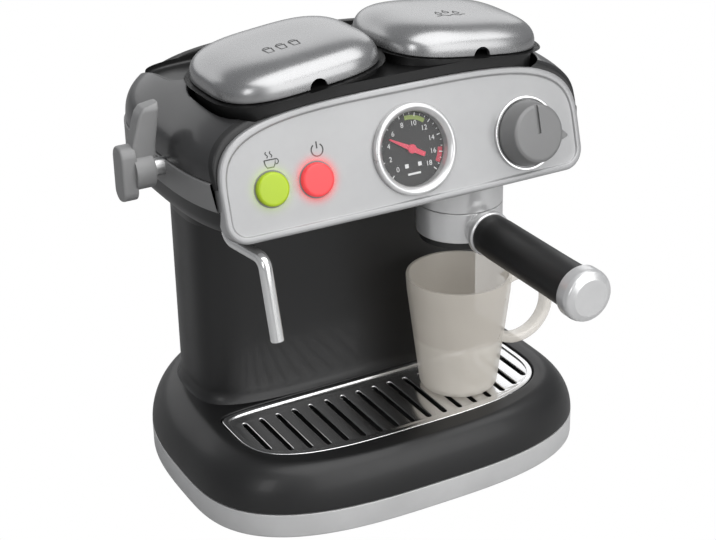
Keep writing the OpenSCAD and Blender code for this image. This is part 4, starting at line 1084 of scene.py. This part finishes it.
leverAxes = np.array([[0, 0, 1], [0, 1, 0], [-1, 0, 0]], float)
leverAt = np.array([0, 5.8, 166.8])
plateHalf, plateStraight, armHalf, armRound = 5.5, 7.2, 4, 26.5
corners = fullTurn(64)
rows = []
for inset, out in roundPath([(2, 111.5), (0, 111.5, 0.5), (0, 118.5, 1.4), (3.5, 118.5)], 6):
    y = (plateHalf - inset) * np.cos(corners)
    z = (plateHalf - inset) * np.sin(corners) + plateStraight * np.where(corners < math.pi, 1, -1)
    rows.append(leverAt + np.column_stack([np.full(64, -out), y, z]))
lever = Builder().skin(rows, caps=True)
hub = Builder().spin(roundPath([(0, 103.6), (8.2, 103.6, 0.5), (8.2, 112.5), (0, 112.5)]),
                     leverAt, leverAxes, 128)
rows = []
for z in np.concatenate([np.linspace(6, 26, 10), np.linspace(armRound, 29.9, 14)]):
    outer = np.interp(z, [0, 11, 25.5, 28.5, 30], [-113, -113, -108.6, -106.3, -99.6])
    inner = np.interp(z, [0, 11, 27, 30], [-101.6, -101.6, -99, -99])
    half = armHalf if z < armRound else math.sqrt(armHalf ** 2 - (z - armRound) ** 2)
    x = (outer + inner) / 2 + (inner - outer) / 2 * signedPower(np.cos(corners), 0.3)
    rows.append(leverAt + np.column_stack([x, half * signedPower(np.sin(corners), 0.3), np.full(64, z)]))
arm = Builder().skin(rows, caps=True)
leverPiece = carve(lever.mesh("SteamLever"), hub, 35, "UNION")
settle(carve(leverPiece, arm, 35, "UNION"), leverGrey, "knob_grey", "lever", "steam_lever")


# Steam wand: a bent pipe, open at its tip

spin = math.radians(8)
wandAxes = np.array([[math.cos(spin), math.sin(spin), 0], [-math.sin(spin), math.cos(spin), 0], [0, 0, 1]])
wandAt, lean = np.array([-77.6, -14, 0]), math.radians(12)
wandRadius, bend, wandDrop = 3, 5.5, 32.2
path = [[0, 0, 152.2], [0, 0, 145], [0, 0, 140.5]]
path += [[0, -bend + bend * math.cos(a), 140.5 - bend * math.sin(a)]
         for a in np.linspace(0.15, math.pi / 2, 12)]
path += [[0, -15, 135], [0, -23.5, 135]]
bendEnd = math.pi / 2 - lean
path += [[0, -23.5 - bend * math.sin(a), 129.5 + bend * math.cos(a)] for a in np.linspace(0.15, bendEnd, 12)]
heel = np.array(path[-1])
down = np.array([0, -math.sin(lean), -math.cos(lean)])
path += [list(heel + down * d) for d in (8, 18, 28, wandDrop)]
wand = Builder().pipe(place(path, wandAt, wandAxes), wandRadius, 48)
tip = place([heel + down * wandDrop], wandAt, wandAxes)[0]
tipUp = place([down], [0, 0, 0], wandAxes)[0]
tipSide = wandAxes[0]
wand.spin([(wandRadius, 0), (2.85, 0.3), (2.05, 0.3), (1.9, 0.1), (1.9, -9), (0, -9)], tip,
          np.array([tipSide, np.cross(tipUp, tipSide), tipUp]), 48)
settle(wand.mesh("SteamWand"), brightTrim, "bright_trim", "wand", "steam_wand")
turned("WandSocket", roundPath([(3.1, 142), (3.1, 140.9, 0.2), (6.5, 140.9, 0.7), (6.5, 147)]),
       wandAt, wandAxes, 96, gripBlack, "black_grip", "case", "wand_socket")


# Group and filter holder

groupAt, groupRadius = np.array([38.0, -19.0, 0]), 20.2
turned("GroupHead", roundPath([(15.6, 145), (15.6, 131, 0.2), (groupRadius, 131, 0.35), (groupRadius, 145)]),
       groupAt, upright, 192, groupSilver, "group_silver", "case", "group_head")
turned("FilterHolder", roundPath([(13, 144), (13, 116.3), (groupRadius, 116.3, 0.4),
                                  (groupRadius, 130.7, 0.35), (15.5, 130.7), (15.5, 144), (13, 144)]),
       groupAt, upright, 192, groupSilver, "group_silver", "holder", "filter_holder")
turned("FilterBasket", roundPath([(0, 115.8), (9, 115.8), (9, 112.75, 0.3), (18.9, 112.75, 0.6),
                                  (18.9, 116.3)]),
       groupAt, upright, 160, gripBlack, "black_grip", "holder", "filter_basket")
handleAt = groupAt + [0, 0, 122.4]
handleAxes = np.array([[1, 0, 0], [0, 0, 1], [0, -1, 0]], float)
turned("HandleCollar", roundPath([(8.5, 17.4), (8.5, 22.2, 0.4), (10.6, 24.2, 0.5), (10.6, 26.6, 0.4),
                                  (10, 27.2), (9, 27.2)]),
       handleAt, handleAxes, 128, groupSilver, "bright_trim", "holder", "handle_collar")
turned("HandleGrip", smoothRows([(9.6, 27.2), (9.75, 31), (9.9, 35.2), (9.9, 75.5), (10.2, 95.4)], 40),
       handleAt, handleAxes, 128, gripBlack, "black_grip", "holder", "filter_handle")
turned("HandleEndCap", roundPath([(9, 95.5), (11.9, 95.5, 0.4), (11.9, 100.6, 0.6), (11.2, 102.8, 0.8),
                                  (8.7, 104.2, 0.5), (8.3, 104.4, 0.2), (0, 104.5)], 6),
       handleAt, handleAxes, 128, groupSilver, "bright_trim", "holder", "handle_end_cap")


# Cup

cupAt = groupAt + [0, 0, grilleTop]


def cupFoot(across, up, count):
    return [(14.5 + across * math.sin(a), 4.5 - up * math.cos(a)) for a in np.linspace(0, math.pi / 2, count)]


outside = [(0, 0.05)] + cupFoot(4.5, 4.45, 10)
outside += [(19 + 5.7 * t, 4.5 + 46.5 * t) for t in np.linspace(0.1, 1, 12)]
outside += [(25.2, 58.3), (25.0, 59), (0, 59)]
inside = [(0, 1.8)] + cupFoot(2.7, 2.7, 8) + [(23.1, 51), (23.6, 58.6), (23.9, 59.3), (0, 62)]
cupBody = Builder().spin(outside, cupAt, count=160).mesh("Cup", 40)
rows = []
loopX, loopZ, loopRadius, strapSquare = 33.2, 33.63, 17.1, 0.55
for a in fullTurn(120):
    ring = []
    for b in fullTurn(24):
        out = loopRadius + 2.4 * signedPower(np.cos(b), strapSquare)
        across = 3.5 * signedPower(np.sin(b), strapSquare)
        ring.append([loopX + out * math.cos(a), across, loopZ + out * math.sin(a)])
    rows.append(cupAt + ring)
cupBody = carve(cupBody, Builder().skin(rows, loop=True), 40, "UNION")
cupBody = carve(cupBody, Builder().spin(inside, cupAt, count=160), 40)
settle(cupBody, cupSmoke, "cup_smoke", "beaker", "cup")
print("lever, wand, group and cup made")


# Looks of the nodes that stay as they were packed

carried = {
    footRubber: ["feet"], panBlack: ["drip_pan", "battery_box", "pod_tray"], baseSilver: ["battery_cover"],
    cellGreen: ["batteries"], steel: ["battery_contacts", "knob_shaft", "lever_shaft", "lid_hinge_pins"],
    screwSteel: ["case_screws"], boardGreen: ["circuit_board"], lampClear: ["leds"],
    tankClear: ["water_tank"],
    switchBlack: ["tact_switches", "speaker", "spout_nozzle"], tubeMilk: ["water_tube"],
    valveWhite: ["valve_body", "valve_plug", "lever_bush"], needleRed: ["gauge_needle"],
    lensClear: ["gauge_lens"],
}
for look, names in carried.items():
    for name in names:
        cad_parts[name].data.materials.clear()
        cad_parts[name].data.materials.append(look.material)
print("carried nodes dressed")
